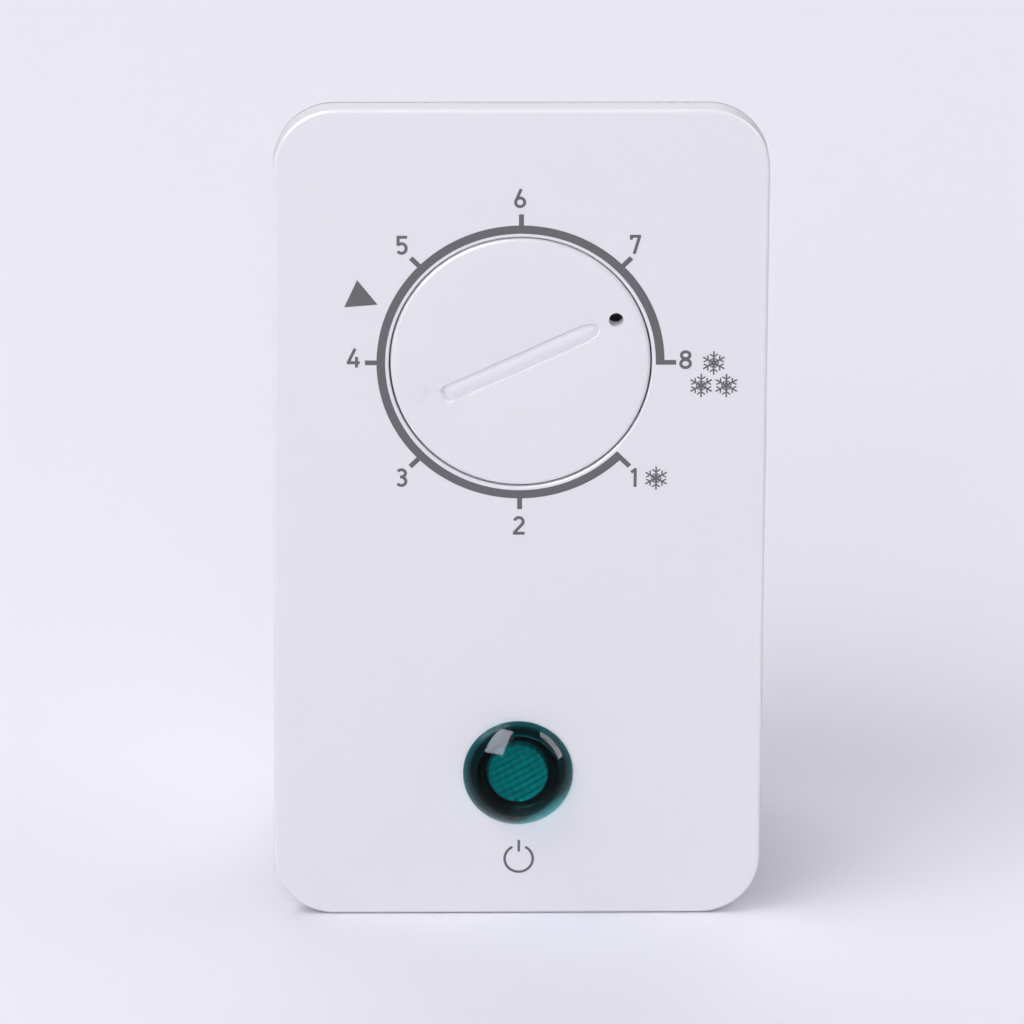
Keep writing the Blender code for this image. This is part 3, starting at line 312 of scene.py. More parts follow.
def turned(name, profile, steps, surface=None, at=(0.0, 0.0, 0.0), axis="Y"):
    """Solid of revolution from (radius, distance along the axis) points, closed into a loop."""
    bm = bmesh.new()
    shift = Vector(at)

    def place(radius, along, angle):
        one, two = radius * math.cos(angle), radius * math.sin(angle)
        return Vector((one, along, two) if axis == "Y" else (one, two, along)) + shift

    rings = []
    for radius, along in profile:
        count = steps if radius > 0.0 else 1
        rings.append([bm.verts.new(place(radius, along, math.tau * step / count)) for step in range(count)])
    for one, two in zip(rings, rings[1:] + rings[:1]):
        for step in range(steps):
            follow = (step + 1) % steps
            face = [one[step % len(one)], one[follow % len(one)],
                    two[follow % len(two)], two[step % len(two)]]
            face = [vert for index, vert in enumerate(face) if vert not in face[:index]]
            if len(face) > 2:
                bm.faces.new(face)
    return add_piece(name, bm, surface)


def slab(name, low, high):
    """Block between two corners."""
    outline = [(low[0], low[2]), (high[0], low[2]), (high[0], high[2]), (low[0], high[2])]
    return prism(name, outline, low[1], high[1])


def fillet(corner, radius, start, steps=6):
    """Quarter turn of a profile about `corner`, from `start` degrees."""
    return arc(corner, (radius, radius), start, start + 90.0, steps)


# ---------------------------------------------------------------- materials

class Nodes:
    """Shader tree of one material, with short calls for the nodes used here."""

    def __init__(self, name):
        self.material = bpy.data.materials.new(name)
        self.material.use_nodes = True
        self.tree = self.material.node_tree
        self.shader = next(node for node in self.tree.nodes if node.type == "BSDF_PRINCIPLED")
        self.space = self.node("ShaderNodeTexCoord").outputs["Object"]

    def node(self, kind, **settings):
        made = self.tree.nodes.new(kind)
        for key, value in settings.items():
            setattr(made, key, value)
        return made

    def link(self, source, target):
        self.tree.links.new(source, target)

    def stretched(self, scale, turn=(0.0, 0.0, 0.0)):
        mapping = self.node("ShaderNodeMapping")
        mapping.inputs["Scale"].default_value = scale
        mapping.inputs["Rotation"].default_value = turn
        self.link(self.space, mapping.inputs["Vector"])
        return mapping.outputs["Vector"]

    def noise(self, grain, detail=3.0, space=None):
        """Noise whose blobs are about `grain` millimetres across."""
        texture = self.node("ShaderNodeTexNoise")
        texture.inputs["Scale"].default_value = 1.0 / (grain * MM)
        texture.inputs["Detail"].default_value = detail
        self.link(space or self.space, texture.inputs["Vector"])
        return texture.outputs["Fac"]

    def ranged(self, value, low, high, start=0.3, end=0.7):
        ramp = self.node("ShaderNodeMapRange")
        for key, number in (("From Min", start), ("From Max", end), ("To Min", low), ("To Max", high)):
            ramp.inputs[key].default_value = number
        self.link(value, ramp.inputs["Value"])
        return ramp.outputs["Result"]

    def mixed(self, share, one, two):
        mix = self.node("ShaderNodeMix", data_type="RGBA")
        self.link(share, mix.inputs["Factor"])
        for index, colour in ((6, one), (7, two)):
            if isinstance(colour, tuple):
                mix.inputs[index].default_value = (*colour, 1.0)
            else:
                self.link(colour, mix.inputs[index])
        return mix.outputs[2]

    def maths(self, operation, one, two):
        made = self.node("ShaderNodeMath", operation=operation)
        for index, value in enumerate((one, two)):
            if isinstance(value, float):
                made.inputs[index].default_value = value
            else:
                self.link(value, made.inputs[index])
        return made.outputs["Value"]

    def bump(self, height, distance):
        """Relief `distance` millimetres high."""
        made = self.node("ShaderNodeBump")
        made.inputs["Distance"].default_value = distance * MM
        made.inputs["Strength"].default_value = 1.0
        self.link(height, made.inputs["Height"])
        self.link(made.outputs["Normal"], self.shader.inputs["Normal"])

    def paint(self, share, one, two):
        self.link(self.mixed(share, one, two), self.shader.inputs["Base Color"])

    def texture(self, height, smooth, rough, relief):
        """Roughness between two values, and relief in millimetres, both following `height`."""
        self.link(self.ranged(height, smooth, rough), self.shader.inputs["Roughness"])
        self.bump(height, relief)

    def distance(self, x, y, z):
        """Distance in metres from a place in millimetres."""
        made = self.node("ShaderNodeVectorMath", operation="DISTANCE")
        self.link(self.space, made.inputs[0])
        made.inputs[1].default_value = (x * MM, y * MM, z * MM)
        return made.outputs["Value"]

    def axes(self):
        made = self.node("ShaderNodeSeparateXYZ")
        self.link(self.space, made.inputs[0])
        return made.outputs

    def set(self, **sockets):
        for name, value in sockets.items():
            self.shader.inputs[name.replace("_", " ")].default_value = value


def toned(colour, factor):
    """The colour made darker or lighter by a factor."""
    return tuple(min(1.0, part * factor) for part in colour)


def moulded(name, colour, roughness, grain=0.5, relief=0.006, drift=0.02, patch=14.0):
    """Moulded plastic or rubber: faint blotches of tone, uneven gloss and a fine texture."""
    nodes = Nodes(name)
    nodes.paint(nodes.noise(patch), toned(colour, 1.0 - drift), toned(colour, 1.0 + drift))
    nodes.texture(nodes.noise(grain, 2.0), roughness - 0.04, roughness + 0.05, relief)
    return nodes.material


def metal(name, colour, roughness, stretch=(1.0, 1.0, 1.0), tarnish=0.12):
    """Metal with drawn or stamped grain and slightly dulled patches."""
    nodes = Nodes(name)
    nodes.paint(nodes.noise(5.0), toned(colour, 1.0 - tarnish), toned(colour, 1.0 + tarnish / 2.0))
    nodes.texture(nodes.noise(0.6, 4.0, nodes.stretched(stretch)), roughness - 0.08, roughness + 0.1, 0.002)
    nodes.set(Metallic=1.0)
    return nodes.material


WHITE = (0.79, 0.776, 0.815)
DUST = (0.30, 0.29, 0.30)
SCUFF = (0.6, 0.59, 0.63)
SCUFF_REACH = 5.0               # millimetres from the slot's left end to where the scuffs are gone


def white_plastic(nodes, patch, marks, mark_colour):
    """Satin white in faint blotches, with marks of another colour over it."""
    base = nodes.mixed(nodes.noise(patch), toned(WHITE, 0.992), toned(WHITE, 1.006))
    nodes.paint(marks, base, mark_colour)
    nodes.texture(nodes.noise(0.35, 2.0), 0.3, 0.38, 0.0015)
    return nodes.material


def panel_plastic():
    """White of the panel, with specks of dust where its rim meets the wall."""
    nodes = Nodes("panel_plastic")
    depth = nodes.axes()["Y"]
    near_wall = nodes.ranged(depth, 0.0, 1.0, -1.2 * MM, -0.3 * MM)
    outside = nodes.ranged(depth, 1.0, 0.0, 0.1 * MM, 0.5 * MM)
    specks = nodes.maths("MULTIPLY", outside, nodes.ranged(nodes.noise(1.1, 4.0), 0.0, 0.7, 0.5, 0.72))
    return white_plastic(nodes, 30.0, nodes.maths("MULTIPLY", near_wall, specks), DUST)


def knob_plastic():
    """The panel's white, with grey scuffs where a coin has slipped out of the slot."""
    nodes = Nodes("knob_plastic")
    angle = math.radians(POINTER_ANGLE)
    reach = -SLOT_LENGTH / 2.0 - 0.6
    away = nodes.distance(DIAL.x + reach * math.cos(angle), PANEL_FRONT, DIAL.z + reach * math.sin(angle))
    near = nodes.ranged(away, 1.0, 0.0, 0.5 * MM, SCUFF_REACH * MM)
    streaks = nodes.noise(0.5, 5.0, nodes.stretched((0.35, 1.0, 1.0), (0.0, math.radians(-60.0), 0.0)))
    scuffs = nodes.maths("MULTIPLY", near, nodes.ranged(streaks, 0.0, 0.5, 0.48, 0.7))
    return white_plastic(nodes, 22.0, scuffs, SCUFF)


def ink():
    """Pad-printed grey with slightly thin and thick patches."""
    nodes = Nodes("printing_ink")
    coverage = nodes.noise(0.4, 4.0)
    nodes.paint(coverage, (0.112, 0.112, 0.12), (0.136, 0.136, 0.145))
    nodes.texture(coverage, 0.5, 0.6, 0.002)
    return nodes.material


def glass(name, colour, **sockets):
    """Moulded or blown glass-clear material with faint flow waves in its skin."""
    nodes = Nodes(name)
    flow = nodes.noise(2.5, 1.0)
    nodes.paint(flow, toned(colour, 0.95), toned(colour, 1.05))
    nodes.texture(flow, 0.01, 0.03, 0.002)
    nodes.set(Transmission_Weight=1.0, IOR=1.49, **sockets)
    return nodes.material


def prism_plastic():
    """Green of the ribbed disc, with a painted highlight along the crests of its ridges and painted shade in
    the grooves.
    """
    nodes = Nodes("lamp_prism_plastic")
    crests = 0.0
    for lean, pitch, relief in PRISM_RIDGES:
        across = nodes.node("ShaderNodeVectorMath", operation="DOT_PRODUCT")
        moved = nodes.node("ShaderNodeVectorMath", operation="SUBTRACT")
        nodes.link(nodes.space, moved.inputs[0])
        moved.inputs[1].default_value = (LAMP.x * MM, 0.0, LAMP.z * MM)
        nodes.link(moved.outputs["Vector"], across.inputs[0])
        across.inputs[1].default_value = (math.cos(lean) / (pitch * MM), 0.0, -math.sin(lean) / (pitch * MM))
        wave = nodes.maths("PINGPONG", across.outputs["Value"], 0.5)
        crests = nodes.maths("ADD", nodes.maths("MULTIPLY", wave, 2.0 * relief / PRISM_RIDGES[0][2]), crests)
    # Painted highlight on the crests and painted shade in the grooves, broken up by noise.
    streaks = nodes.maths("MULTIPLY", crests, nodes.ranged(nodes.noise(0.7), 0.75, 1.25))
    ridge_light_and_shade = nodes.ranged(streaks, 0.0, 1.0, 0.35, 1.5)
    nodes.paint(ridge_light_and_shade, (0.035, 0.42, 0.39), (0.02, 0.29, 0.28))
    nodes.texture(nodes.noise(0.3, 2.0), 0.2, 0.3, 0.004)
    return nodes.material


def lamp_seal_painted_light():
    """Seal under the lens: dark inside, with painted light paler towards the rim, where light comes through
    the lens's edge, and a painted near-white crescent along its lower right, where the dome focuses the
    light.
    """
    nodes = Nodes("lamp_seal_painted_light")
    radius = LENS_RADIUS * MM
    axes = nodes.axes()
    right = nodes.maths("SUBTRACT", axes["X"], LAMP.x * MM)
    up = nodes.maths("SUBTRACT", axes["Z"], LAMP.z * MM)
    # Painted caustic: a near-white crescent along the lower right, where light through the dome would gather.
    toward = nodes.maths("SUBTRACT", nodes.maths("MULTIPLY", right, 0.55), nodes.maths("MULTIPLY", up, 0.83))
    painted_caustic = nodes.ranged(toward, 0.0, 1.0, 0.66 * radius, 0.84 * radius)
    # Painted light, paler towards the rim, where light comes through the lens's edge.
    away = nodes.distance(LAMP.x, PANEL_FRONT, LAMP.z)
    rim = nodes.ranged(away, 0.0, 1.0, 0.8 * radius, 0.95 * radius)
    mottle = nodes.noise(0.5)
    dark = nodes.mixed(mottle, (0.02, 0.022, 0.025), (0.03, 0.032, 0.035))
    base = nodes.mixed(rim, dark, (0.38, 0.41, 0.43))
    nodes.paint(painted_caustic, base, (0.95, 0.97, 0.97))
    nodes.texture(mottle, 0.35, 0.5, 0.004)
    return nodes.material


def make_surfaces():
    """Materials by the record's slots, and three for pieces that have no CAD solid."""
    along_x, along_y, along_z = (0.08, 1.0, 1.0), (1.0, 0.08, 1.0), (1.0, 1.0, 0.08)
    return {
        "panel_white": panel_plastic(),
        "dial_white": knob_plastic(),
        "ink": ink(),
        "box_white": moulded("box_plastic", (0.66, 0.66, 0.69), 0.5, 0.8, 0.02),
        "lens_green": glass("lens_green", (0.0, 0.45, 0.47), Specular_Tint=(0.22, 0.22, 0.25, 1.0)),
        "diffuser": prism_plastic(),
        # The lens seal's colour holds painted light: a pale rim and a near-white crescent at its lower right.
        "gasket": lamp_seal_painted_light(),
        # Dark grey of the rim seal, a painted shadow standing in for the contact shadow along the panel's
        # rim.
        "foam": moulded("shadow_seal_foam", (0.11, 0.11, 0.125), 0.85, 0.15, 0.02, 0.2, 2.0),
        "nylon_black": moulded("nylon_black", (0.018, 0.018, 0.02), 0.45, 0.6, 0.01, 0.15),
        "nylon_natural": moulded("nylon_natural", (0.68, 0.65, 0.55), 0.42, 0.7, 0.012, 0.05),
        "phenolic": moulded("phenolic_brown", (0.06, 0.03, 0.018), 0.38, 0.4, 0.01, 0.35, 1.5),
        "rubber": moulded("rubber_black", (0.022, 0.022, 0.023), 0.68, 0.25, 0.02, 0.2, 4.0),
        "resistor_tan": moulded("resistor_lacquer", (0.52, 0.36, 0.2), 0.3, 0.3, 0.004, 0.1, 1.0),
        "zinc_steel": metal("zinc_plated_steel", (0.62, 0.63, 0.66), 0.32, along_z),
        "spring_steel": metal("spring_steel", (0.36, 0.37, 0.39), 0.3, along_x),
        "brass": metal("brass", (0.79, 0.58, 0.26), 0.28, along_y),
        "copper": metal("copper", (0.78, 0.42, 0.28), 0.3, along_z, tarnish=0.25),
        "silver": metal("silver_contact", (0.86, 0.85, 0.82), 0.24),
        "bulb_glass": glass("bulb_glass", (0.95, 0.94, 0.9)),
        "lead_brown": moulded("pvc_brown", (0.12, 0.045, 0.02), 0.36, 0.5, 0.004, 0.1),
        "lead_blue": moulded("pvc_blue", (0.02, 0.09, 0.4), 0.36, 0.5, 0.004, 0.1),
        "lead_black": moulded("pvc_black", (0.015, 0.015, 0.016), 0.36, 0.5, 0.004, 0.1),
        "lead_earth": moulded("pvc_green", (0.12, 0.36, 0.04), 0.36, 0.5, 0.004, 0.1),
    }


def paint_cad_nodes(surfaces):
    """Give each carried-over CAD node the surface of its record slot."""
    for part in frame["record"]["subparts"]:
        node = frame["nodes"][part["node"]]
        node.data.materials.clear()
        node.data.materials.append(surfaces[part["material_slot"]])


# ---------------------------------------------------------------- panel

def panel_section():
    """(Inset, depth) points from the inside of the panel's front wall, round its rim, to its front face."""
    return ([(PANEL_WALL, PANEL_FRONT + PANEL_WALL), (PANEL_WALL, PANEL_REAR)]
            + fillet((PANEL_RIM, PANEL_REAR - PANEL_RIM), PANEL_RIM, 90.0, 4)
            + fillet((PANEL_EDGE, PANEL_FRONT + PANEL_EDGE), PANEL_EDGE, 180.0, 8))


def panel_outline(inset):
    return rounded_rectangle(PANEL_WIDTH - 2 * inset, PANEL_HEIGHT - 2 * inset, PANEL_CORNER - inset, 20)


def front_panel(surfaces):
    panel = loft("panel_moulding", [(panel_outline(inset), depth) for inset, depth in panel_section()],
                 surfaces["panel_white"])
    inner = BOX_WIDTH / 2.0 - BOX_WALL
    hooks = []
    for height in CLIP_HEIGHTS:
        for side in (-1, 1):
            hooks.append(snap_hook(f"hook_{side}_{height}", side, inner, height))
    cup_radius, cup_end = DISH_RADIUS + DISH_WALL, DISH_FLOOR + PANEL_WALL
    cup = turned("dish_cup", [(0.0, PANEL_FRONT + 1.0), (cup_radius, PANEL_FRONT + 1.0),
                              (cup_radius, cup_end), (0.0, cup_end)], ROUND, at=flat(DIAL))
    weld(panel, cup, *hooks)
    hollow = [(0.0, PANEL_FRONT - 1.0), (DISH_RADIUS + DISH_LIP, PANEL_FRONT - 1.0)]
    hollow += arc((DISH_RADIUS + DISH_LIP, PANEL_FRONT + DISH_LIP), (DISH_LIP, DISH_LIP), 270.0, 180.0, 6)
    hollow += [(DISH_RADIUS - DISH_DRAFT, DISH_FLOOR), (0.0, DISH_FLOOR)]
    cut(panel, turned("dish_hollow", hollow, ROUND, at=flat(DIAL)),
        prism("bush_hole", circle(BUSH_HOLE, 32), DISH_FLOOR - 1.0, DISH_FLOOR + 3.0, at=flat(DIAL)),
        prism("lamp_hole", circle(LAMP_HOLE, 48), PANEL_FRONT - 1.0, PANEL_FRONT + 3.0, at=flat(LAMP)))
    return seat(panel, stands_for=["front_panel"])


def rim_shadow_seal(surfaces):
    """Thin grey foam seal between the panel's rim and the wall; its dark grey is a painted shadow, the
    contact shadow along the rim.
    """
    inset, width = 0.06, 1.5
    outer, inner = panel_outline(inset), panel_outline(inset + width)
    front, back = PANEL_REAR + 0.01, 0.0
    bm = bmesh.new()
    rings = [[bm.verts.new((x, depth, z)) for x, z in outline]
             for outline, depth in ((outer, front), (outer, back), (inner, back), (inner, front))]
    skin(bm, rings, closed=True)
    return seat(add_piece("rim_shadow_seal", bm, surfaces["foam"]))


def snap_hook(name, side, inner, height):
    """Springy arm behind the panel, with a barb that catches in the box's window."""
    arm_out = inner - 0.6
    arm_in = arm_out - 1.3
    start = PANEL_FRONT + PANEL_WALL - 0.5
    section = [(arm_in, start), (arm_out, start), (arm_out, 5.0), (inner + 1.2, 5.0),
               (inner + 0.9, 5.8), (arm_out, 8.4), (arm_in, 8.4)]
    bm = bmesh.new()
    half = 3.0
    skin(bm, [[bm.verts.new((side * x, y, z)) for x, y in section] for z in (height - half, height + half)])
    return add_piece(name, bm)


# ---------------------------------------------------------------- dial

def turned_about(points, angle):
    """Points turned anticlockwise about the origin by `angle` degrees."""
    cos, sin = math.cos(math.radians(angle)), math.sin(math.radians(angle))
    return [(x * cos - z * sin, x * sin + z * cos) for x, z in points]


def slot_outline(inset, ramp=0.0):
    """Coin slot: square-shouldered round left end, and a right end drawn in to a blunt tip."""
    half = SLOT_WIDTH / 2.0 - inset
    reach = SLOT_LENGTH / 2.0 - inset
    left = -SLOT_LENGTH / 2.0 + inset + ramp
    corner = 0.7 * half
    narrowing, neck, neck_half, tip = reach - 2.3, reach - 0.75, half * 0.74, 0.6
    points = arc((left + corner, half - corner), (corner, corner), 90.0, 180.0, 6)
    points += arc((left + corner, -half + corner), (corner, corner), 180.0, 270.0, 6)
    points += [(narrowing, -half), (neck, -neck_half)]
    points += arc((reach - tip, 0.0), (tip, half * 0.66), -72.0, 72.0, 8)
    points += [(neck, neck_half), (narrowing, half)]
    return turned_about(points, POINTER_ANGLE)


def coin_slot(front):
    """Tool for the slot: a soft lip, upright walls, a crowned floor and a sloping left end."""
    steps = [(-0.12, -1.0), (-0.12, 0.0), (-0.04, 0.03), (0.0, 0.12)]
    foot, reach = 0.08, SLOT_WIDTH / 2.0 - 0.1
    count = 10
    for step in range(count + 1):
        share = step / count
        rise = SLOT_CROWN * math.sin(share * math.pi / 2.0)
        steps.append((foot + (reach - foot) * share, SLOT_DEPTH - rise))
    loops = []
    for inset, depth in steps:
        ramp = SLOT_RAMP * max(0.0, depth) / SLOT_DEPTH
        loops.append((slot_outline(inset, ramp if inset <= foot else SLOT_RAMP), front + depth))
    return loft("coin_slot", loops, at=flat(DIAL))


def dial_knob(surfaces):
    front = PANEL_FRONT
    profile = [(0.0, front)]
    profile += fillet((KNOB_RADIUS - KNOB_EDGE, front + KNOB_EDGE), KNOB_EDGE, 270.0, 8)
    disc_back = front + KNOB_DISC
    profile += [
        (KNOB_RADIUS - 0.15, KNOB_SKIRT_END), (KNOB_RADIUS - 1.5, KNOB_SKIRT_END),
        (KNOB_RADIUS - 1.4, disc_back), (KNOB_HUB, disc_back),
        (KNOB_HUB, KNOB_HIGH.y), (0.0, KNOB_HIGH.y),
    ]
    knob = turned("knob_moulding", profile, ROUND, surfaces["dial_white"], flat(DIAL))
    pointer = turned_about([(POINTER_RADIUS, 0.0)], POINTER_ANGLE)[0]
    mouth, chamfer = POINTER_HOLE + POINTER_LIP[0], POINTER_LIP[1]
    drill = turned("pointer_hole", [
        (0.0, front - 1.0), (mouth, front - 1.0), (mouth, front), (POINTER_HOLE, front + chamfer),
        (POINTER_HOLE, disc_back + 1.0), (0.0, disc_back + 1.0)],
        32, at=(DIAL.x + pointer[0], 0.0, DIAL.z + pointer[1]))
    half_flat = SPINDLE_HOLE / 2.0
    start = math.degrees(math.acos(half_flat / SPINDLE_HOLE))
    bore = prism("hub_bore", arc((0.0, 0.0), (SPINDLE_HOLE, SPINDLE_HOLE), start, 360.0 - start, 40),
                 -2.3, KNOB_HIGH.y + 1.0, at=flat(DIAL))
    cut(knob, coin_slot(front), drill, bore)
    return seat(knob, "dial", ["dial_knob"])


# ---------------------------------------------------------------- printing

def stroke(bm, path, width, closed=False):
    """Solid line of the print along (x, z) points, with mitred corners and square ends."""
    count = len(path)
    stations = []
    for index, (x, z) in enumerate(path):
        before = path[index - 1] if index or closed else path[0]
        after = path[(index + 1) % count] if index < count - 1 or closed else path[-1]
        sides = []
        for one, two in ((before, (x, z)), ((x, z), after)):
            run = Vector((two[0] - one[0], two[1] - one[1]))
            if run.length > 1e-9:
                sides.append(Vector((-run.y, run.x)).normalized())
        normal = (sides[0] + sides[-1]).normalized()
        reach = width / 2.0 / max(0.5, normal.dot(sides[0]))
        corner = []
        for side, depth in ((1, INK_FRONT), (-1, INK_FRONT), (-1, INK_BACK), (1, INK_BACK)):
            corner.append(bm.verts.new((x + side * reach * normal.x, depth, z + side * reach * normal.y)))
        stations.append(corner)
    skin(bm, stations, closed)


def printed(name, lines, surfaces, at=(0.0, 0.0), width=DIGIT_STROKE):
    """One printed mark, from lines of points; a line whose last point is its first is closed."""
    parts = []
    for number, line in enumerate(lines):
        bm = bmesh.new()
        closed = line[0] == line[-1]
        path = [(x + at[0], z + at[1]) for x, z in (line[:-1] if closed else line)]
        stroke(bm, path, width, closed)
        parts.append(add_piece(name if number == 0 else f"{name}_{number}", bm, surfaces["ink"]))
    mark = parts[0]
    if len(parts) > 1:
        weld(mark, *parts[1:])
    return seat(mark, crease=PRINT_CREASE)


def ellipse(centre, radii, steps=32):
    points = arc(centre, radii, 0.0, 360.0 - 360.0 / steps, steps - 1)
    return points + points[:1]


def digit_lines():
    """Centre lines of the digits 1 to 8, in millimetres about each digit's middle."""
    top = DIGIT_HALF - DIGIT_STROKE / 2.0
    end = DIGIT_HALF
    return {
        1: [[(0.12, -end), (0.12, end)], [(0.14, end - 0.22), (-0.46, end - 0.62)]],
        2: [arc((0.0, top - 0.64), (0.62, 0.64), 165.0, -32.0, 20) + [(-0.62, -top + 0.12)],
            [(-0.84, -top), (0.84, -top)]],
        3: [arc((-0.03, top - 0.54), (0.56, 0.54), 150.0, -90.0, 20) + [(-0.24, top - 1.08)],
            arc((-0.03, -top + 0.62), (0.62, 0.62), 82.0, -150.0, 20)],
        4: [[(0.26, end), (-0.7, -0.62)], [(-0.92, -0.68), (0.92, -0.68)], [(0.46, 0.2), (0.46, -end)]],
        5: [[(0.74, top), (-0.54, top)], [(-0.54, end), (-0.54, -0.08)],
            [(-0.54, 0.04)] + arc((-0.04, -top + 0.72), (0.64, 0.72), 125.0, -145.0, 24)],
        6: [ellipse((0.0, -top + 0.64), (0.64, 0.64)), [(-0.6, -top + 0.84), (0.14, end)]],
        7: [[(-0.78, top), (0.78, top)], [(-0.57, end), (-0.57, end - 0.72)], [(0.6, top), (-0.16, -end)]],
        8: [ellipse((0.0, top - 0.52), (0.6, 0.52)), ellipse((0.0, -top + 0.6), (0.68, 0.6))],
    }


# Where each digit's middle lies from the dial's centre; 8 is at the highest setting.
DIGIT_REACH = {1: (16.3, -17.3), 2: (-0.1, -24.5), 3: (-16.8, -17.25), 4: (-23.7, 0.7),
               5: (-16.85, 17.5), 6: (-0.2, 24.4), 7: (16.1, 17.6), 8: (23.4, 0.4)}


def scale_ring(surfaces):
    """Printed ring with a tick at each setting; the end ticks stop flush with the ring's ends."""
    edge = math.degrees(TICK_WIDTH / 2.0 / SCALE_RADIUS)
    line = arc((DIAL.x, DIAL.z), (SCALE_RADIUS, SCALE_RADIUS), -edge, SCALE_SPAN + edge, 150)
    ring = bmesh.new()
    stroke(ring, line, SCALE_LINE)
    ring_piece = add_piece("scale_ring", ring, surfaces["ink"])
    ticks = []
    for setting in range(SETTINGS):
        angle = SCALE_SPAN * setting / (SETTINGS - 1)
        ends = turned_about([(SCALE_RADIUS, 0.0), (TICK_REACH, 0.0)], angle)
        bm = bmesh.new()
        stroke(bm, [(DIAL.x + x, DIAL.z + z) for x, z in ends], TICK_WIDTH)
        ticks.append(add_piece(f"tick_{setting}", bm))
    weld(ring_piece, *ticks)
    return seat(ring_piece, crease=PRINT_CREASE)


def scale_digits(surfaces):
    for digit, lines in digit_lines().items():
        across, up = DIGIT_REACH[digit]
        printed(f"digit_{digit}", lines, surfaces, (DIAL.x + across, DIAL.z + up))


def snowflake(name, centre, surfaces):
    """Six arms, each with an outer and an inner pair of twigs, as one outline."""
    arm = 0.115
    twig = 0.2
    lean = math.radians(55.0)
    run = Vector((math.sin(lean), math.cos(lean)))
    side = Vector((math.cos(lean), -math.sin(lean)))

    def pair(base, length):
        """Half of one pair of twigs, standing on the arm at `base`."""
        low = Vector((arm, base))
        tip = low + run * length
        upper = tip - side * twig
        back = upper - run * ((upper.x - arm) / run.x)
        return [low, tip, upper, back]

    inner_twigs, outer_twigs = pair(0.42, 0.3), pair(0.88, 0.62)
    half_arm = [(point.x, point.y) for point in inner_twigs + outer_twigs + [Vector((arm, FLAKE_RADIUS))]]
    whole_arm = half_arm + [(-x, z) for x, z in reversed(half_arm)]
    outline = []
    for turn in range(6):
        outline += turned_about(whole_arm, 60.0 * turn)
    shifted = [(x + centre[0], z + centre[1]) for x, z in outline]
    flake = prism(name, shifted, INK_FRONT, INK_BACK, surfaces["ink"])
    return seat(flake, crease=PRINT_CREASE)


def symbols(surfaces):
    """Snowflakes by the coldest and mildest settings, the factory mark, and the lamp's power sign."""
    cold = (DIAL.x + FLAKE_COLD[0], DIAL.z + FLAKE_COLD[1])
    snowflake("snowflake_top", cold, surfaces)
    for side, (across, up) in zip(("left", "right"), FLAKE_PAIR):
        snowflake(f"snowflake_{side}", (cold[0] + across, cold[1] + up), surfaces)
    snowflake("snowflake_mild", (DIAL.x + FLAKE_MILD[0], DIAL.z + FLAKE_MILD[1]), surfaces)
    mark = prism("factory_mark", [(DIAL.x + x, DIAL.z + z) for x, z in FACTORY_MARK],
                 INK_FRONT, INK_BACK, surfaces["ink"])
    seat(mark, crease=PRINT_CREASE)
    ring = arc((0.0, 0.0), (POWER_RADIUS, POWER_RADIUS), 117.0, 423.0, 60)
    printed("power_sign", [ring, [(0.0, 1.1), (0.0, 2.9)]], surfaces,
            (LAMP.x + POWER_SIGN[0], LAMP.z + POWER_SIGN[1]), POWER_STROKE)


# ---------------------------------------------------------------- lamp

def lamp_lens(surfaces):
    """Solid domed lens with a hollow spigot, its rim resting on the panel."""
    height = LENS_SEAT - LENS_RIM - LENS_LOW.y
    sphere = (LENS_RADIUS ** 2 + height ** 2) / (2.0 * height)
    widest = math.degrees(math.asin(LENS_RADIUS / sphere))
    profile = arc((0.0, LENS_LOW.y + sphere), (sphere, sphere), 270.0, 270.0 + widest, 40)
    profile[0] = (0.0, LENS_LOW.y)
    profile += [(LENS_RADIUS, LENS_SEAT), (SPIGOT, LENS_SEAT), (SPIGOT, LENS_HIGH.y),
                (SPIGOT_BORE, LENS_HIGH.y), (SPIGOT_BORE, LENS_SOLID), (0.0, LENS_SOLID)]
    lens = turned("lens_dome", profile, 128, surfaces["lens_green"], flat(LAMP))
    return seat(lens, stands_for=["lamp_lens"])


def lamp_gasket(surfaces):
    """Flat seal between the lens and the panel."""
    inner, outer = SPIGOT + 0.06, LENS_RADIUS - 0.08
    front, back = LENS_SEAT + 0.02, PANEL_FRONT - 0.01
    ring = turned("lamp_gasket", [(inner, front), (outer, front), (outer, back), (inner, back)],
                  96, surfaces["gasket"], flat(LAMP))
    return seat(ring)


def prism_height(x, z):
    """Relief of the disc: two crossing sets of slanting ridges."""
    height = 0.0
    for lean, pitch, relief in PRISM_RIDGES:
        wave = (x * math.cos(lean) - z * math.sin(lean)) / pitch
        height += relief * abs(2.0 * (wave % 1.0) - 1.0)
    return height


def lamp_prism(surfaces):
    """Disc with a ridged front, made as rings of points with the ridges' relief."""
    front, back = DISC_DEPTH, DISC_DEPTH + DISC_THICKNESS
    rings, around = 44, 120
    bm = bmesh.new()
    top = [[bm.verts.new((LAMP.x, front + prism_height(0.0, 0.0), LAMP.z))]]
    for ring in range(1, rings + 1):
        reach = DISC_RADIUS * ring / rings
        loop = []
        for step in range(around):
            angle = math.tau * step / around
            x, z = reach * math.cos(angle), reach * math.sin(angle)
            loop.append(bm.verts.new((LAMP.x + x, front + prism_height(x, z), LAMP.z + z)))
        top.append(loop)
    base = [bm.verts.new((vert.co.x, back, vert.co.z)) for vert in top[-1]]
    for step in range(around):
        follow = (step + 1) % around
        bm.faces.new((top[0][0], top[1][step], top[1][follow]))
        bm.faces.new((top[-1][step], top[-1][follow], base[follow], base[step]))
        for one, two in zip(top[1:], top[2:]):
            bm.faces.new((one[step], one[follow], two[follow], two[step]))
    bm.faces.new(base)
    disc = add_piece("lamp_prism_disc", bm, surfaces["diffuser"])
    return seat(disc, stands_for=["lamp_diffuser"], crease=15.0)


# ---------------------------------------------------------------- box

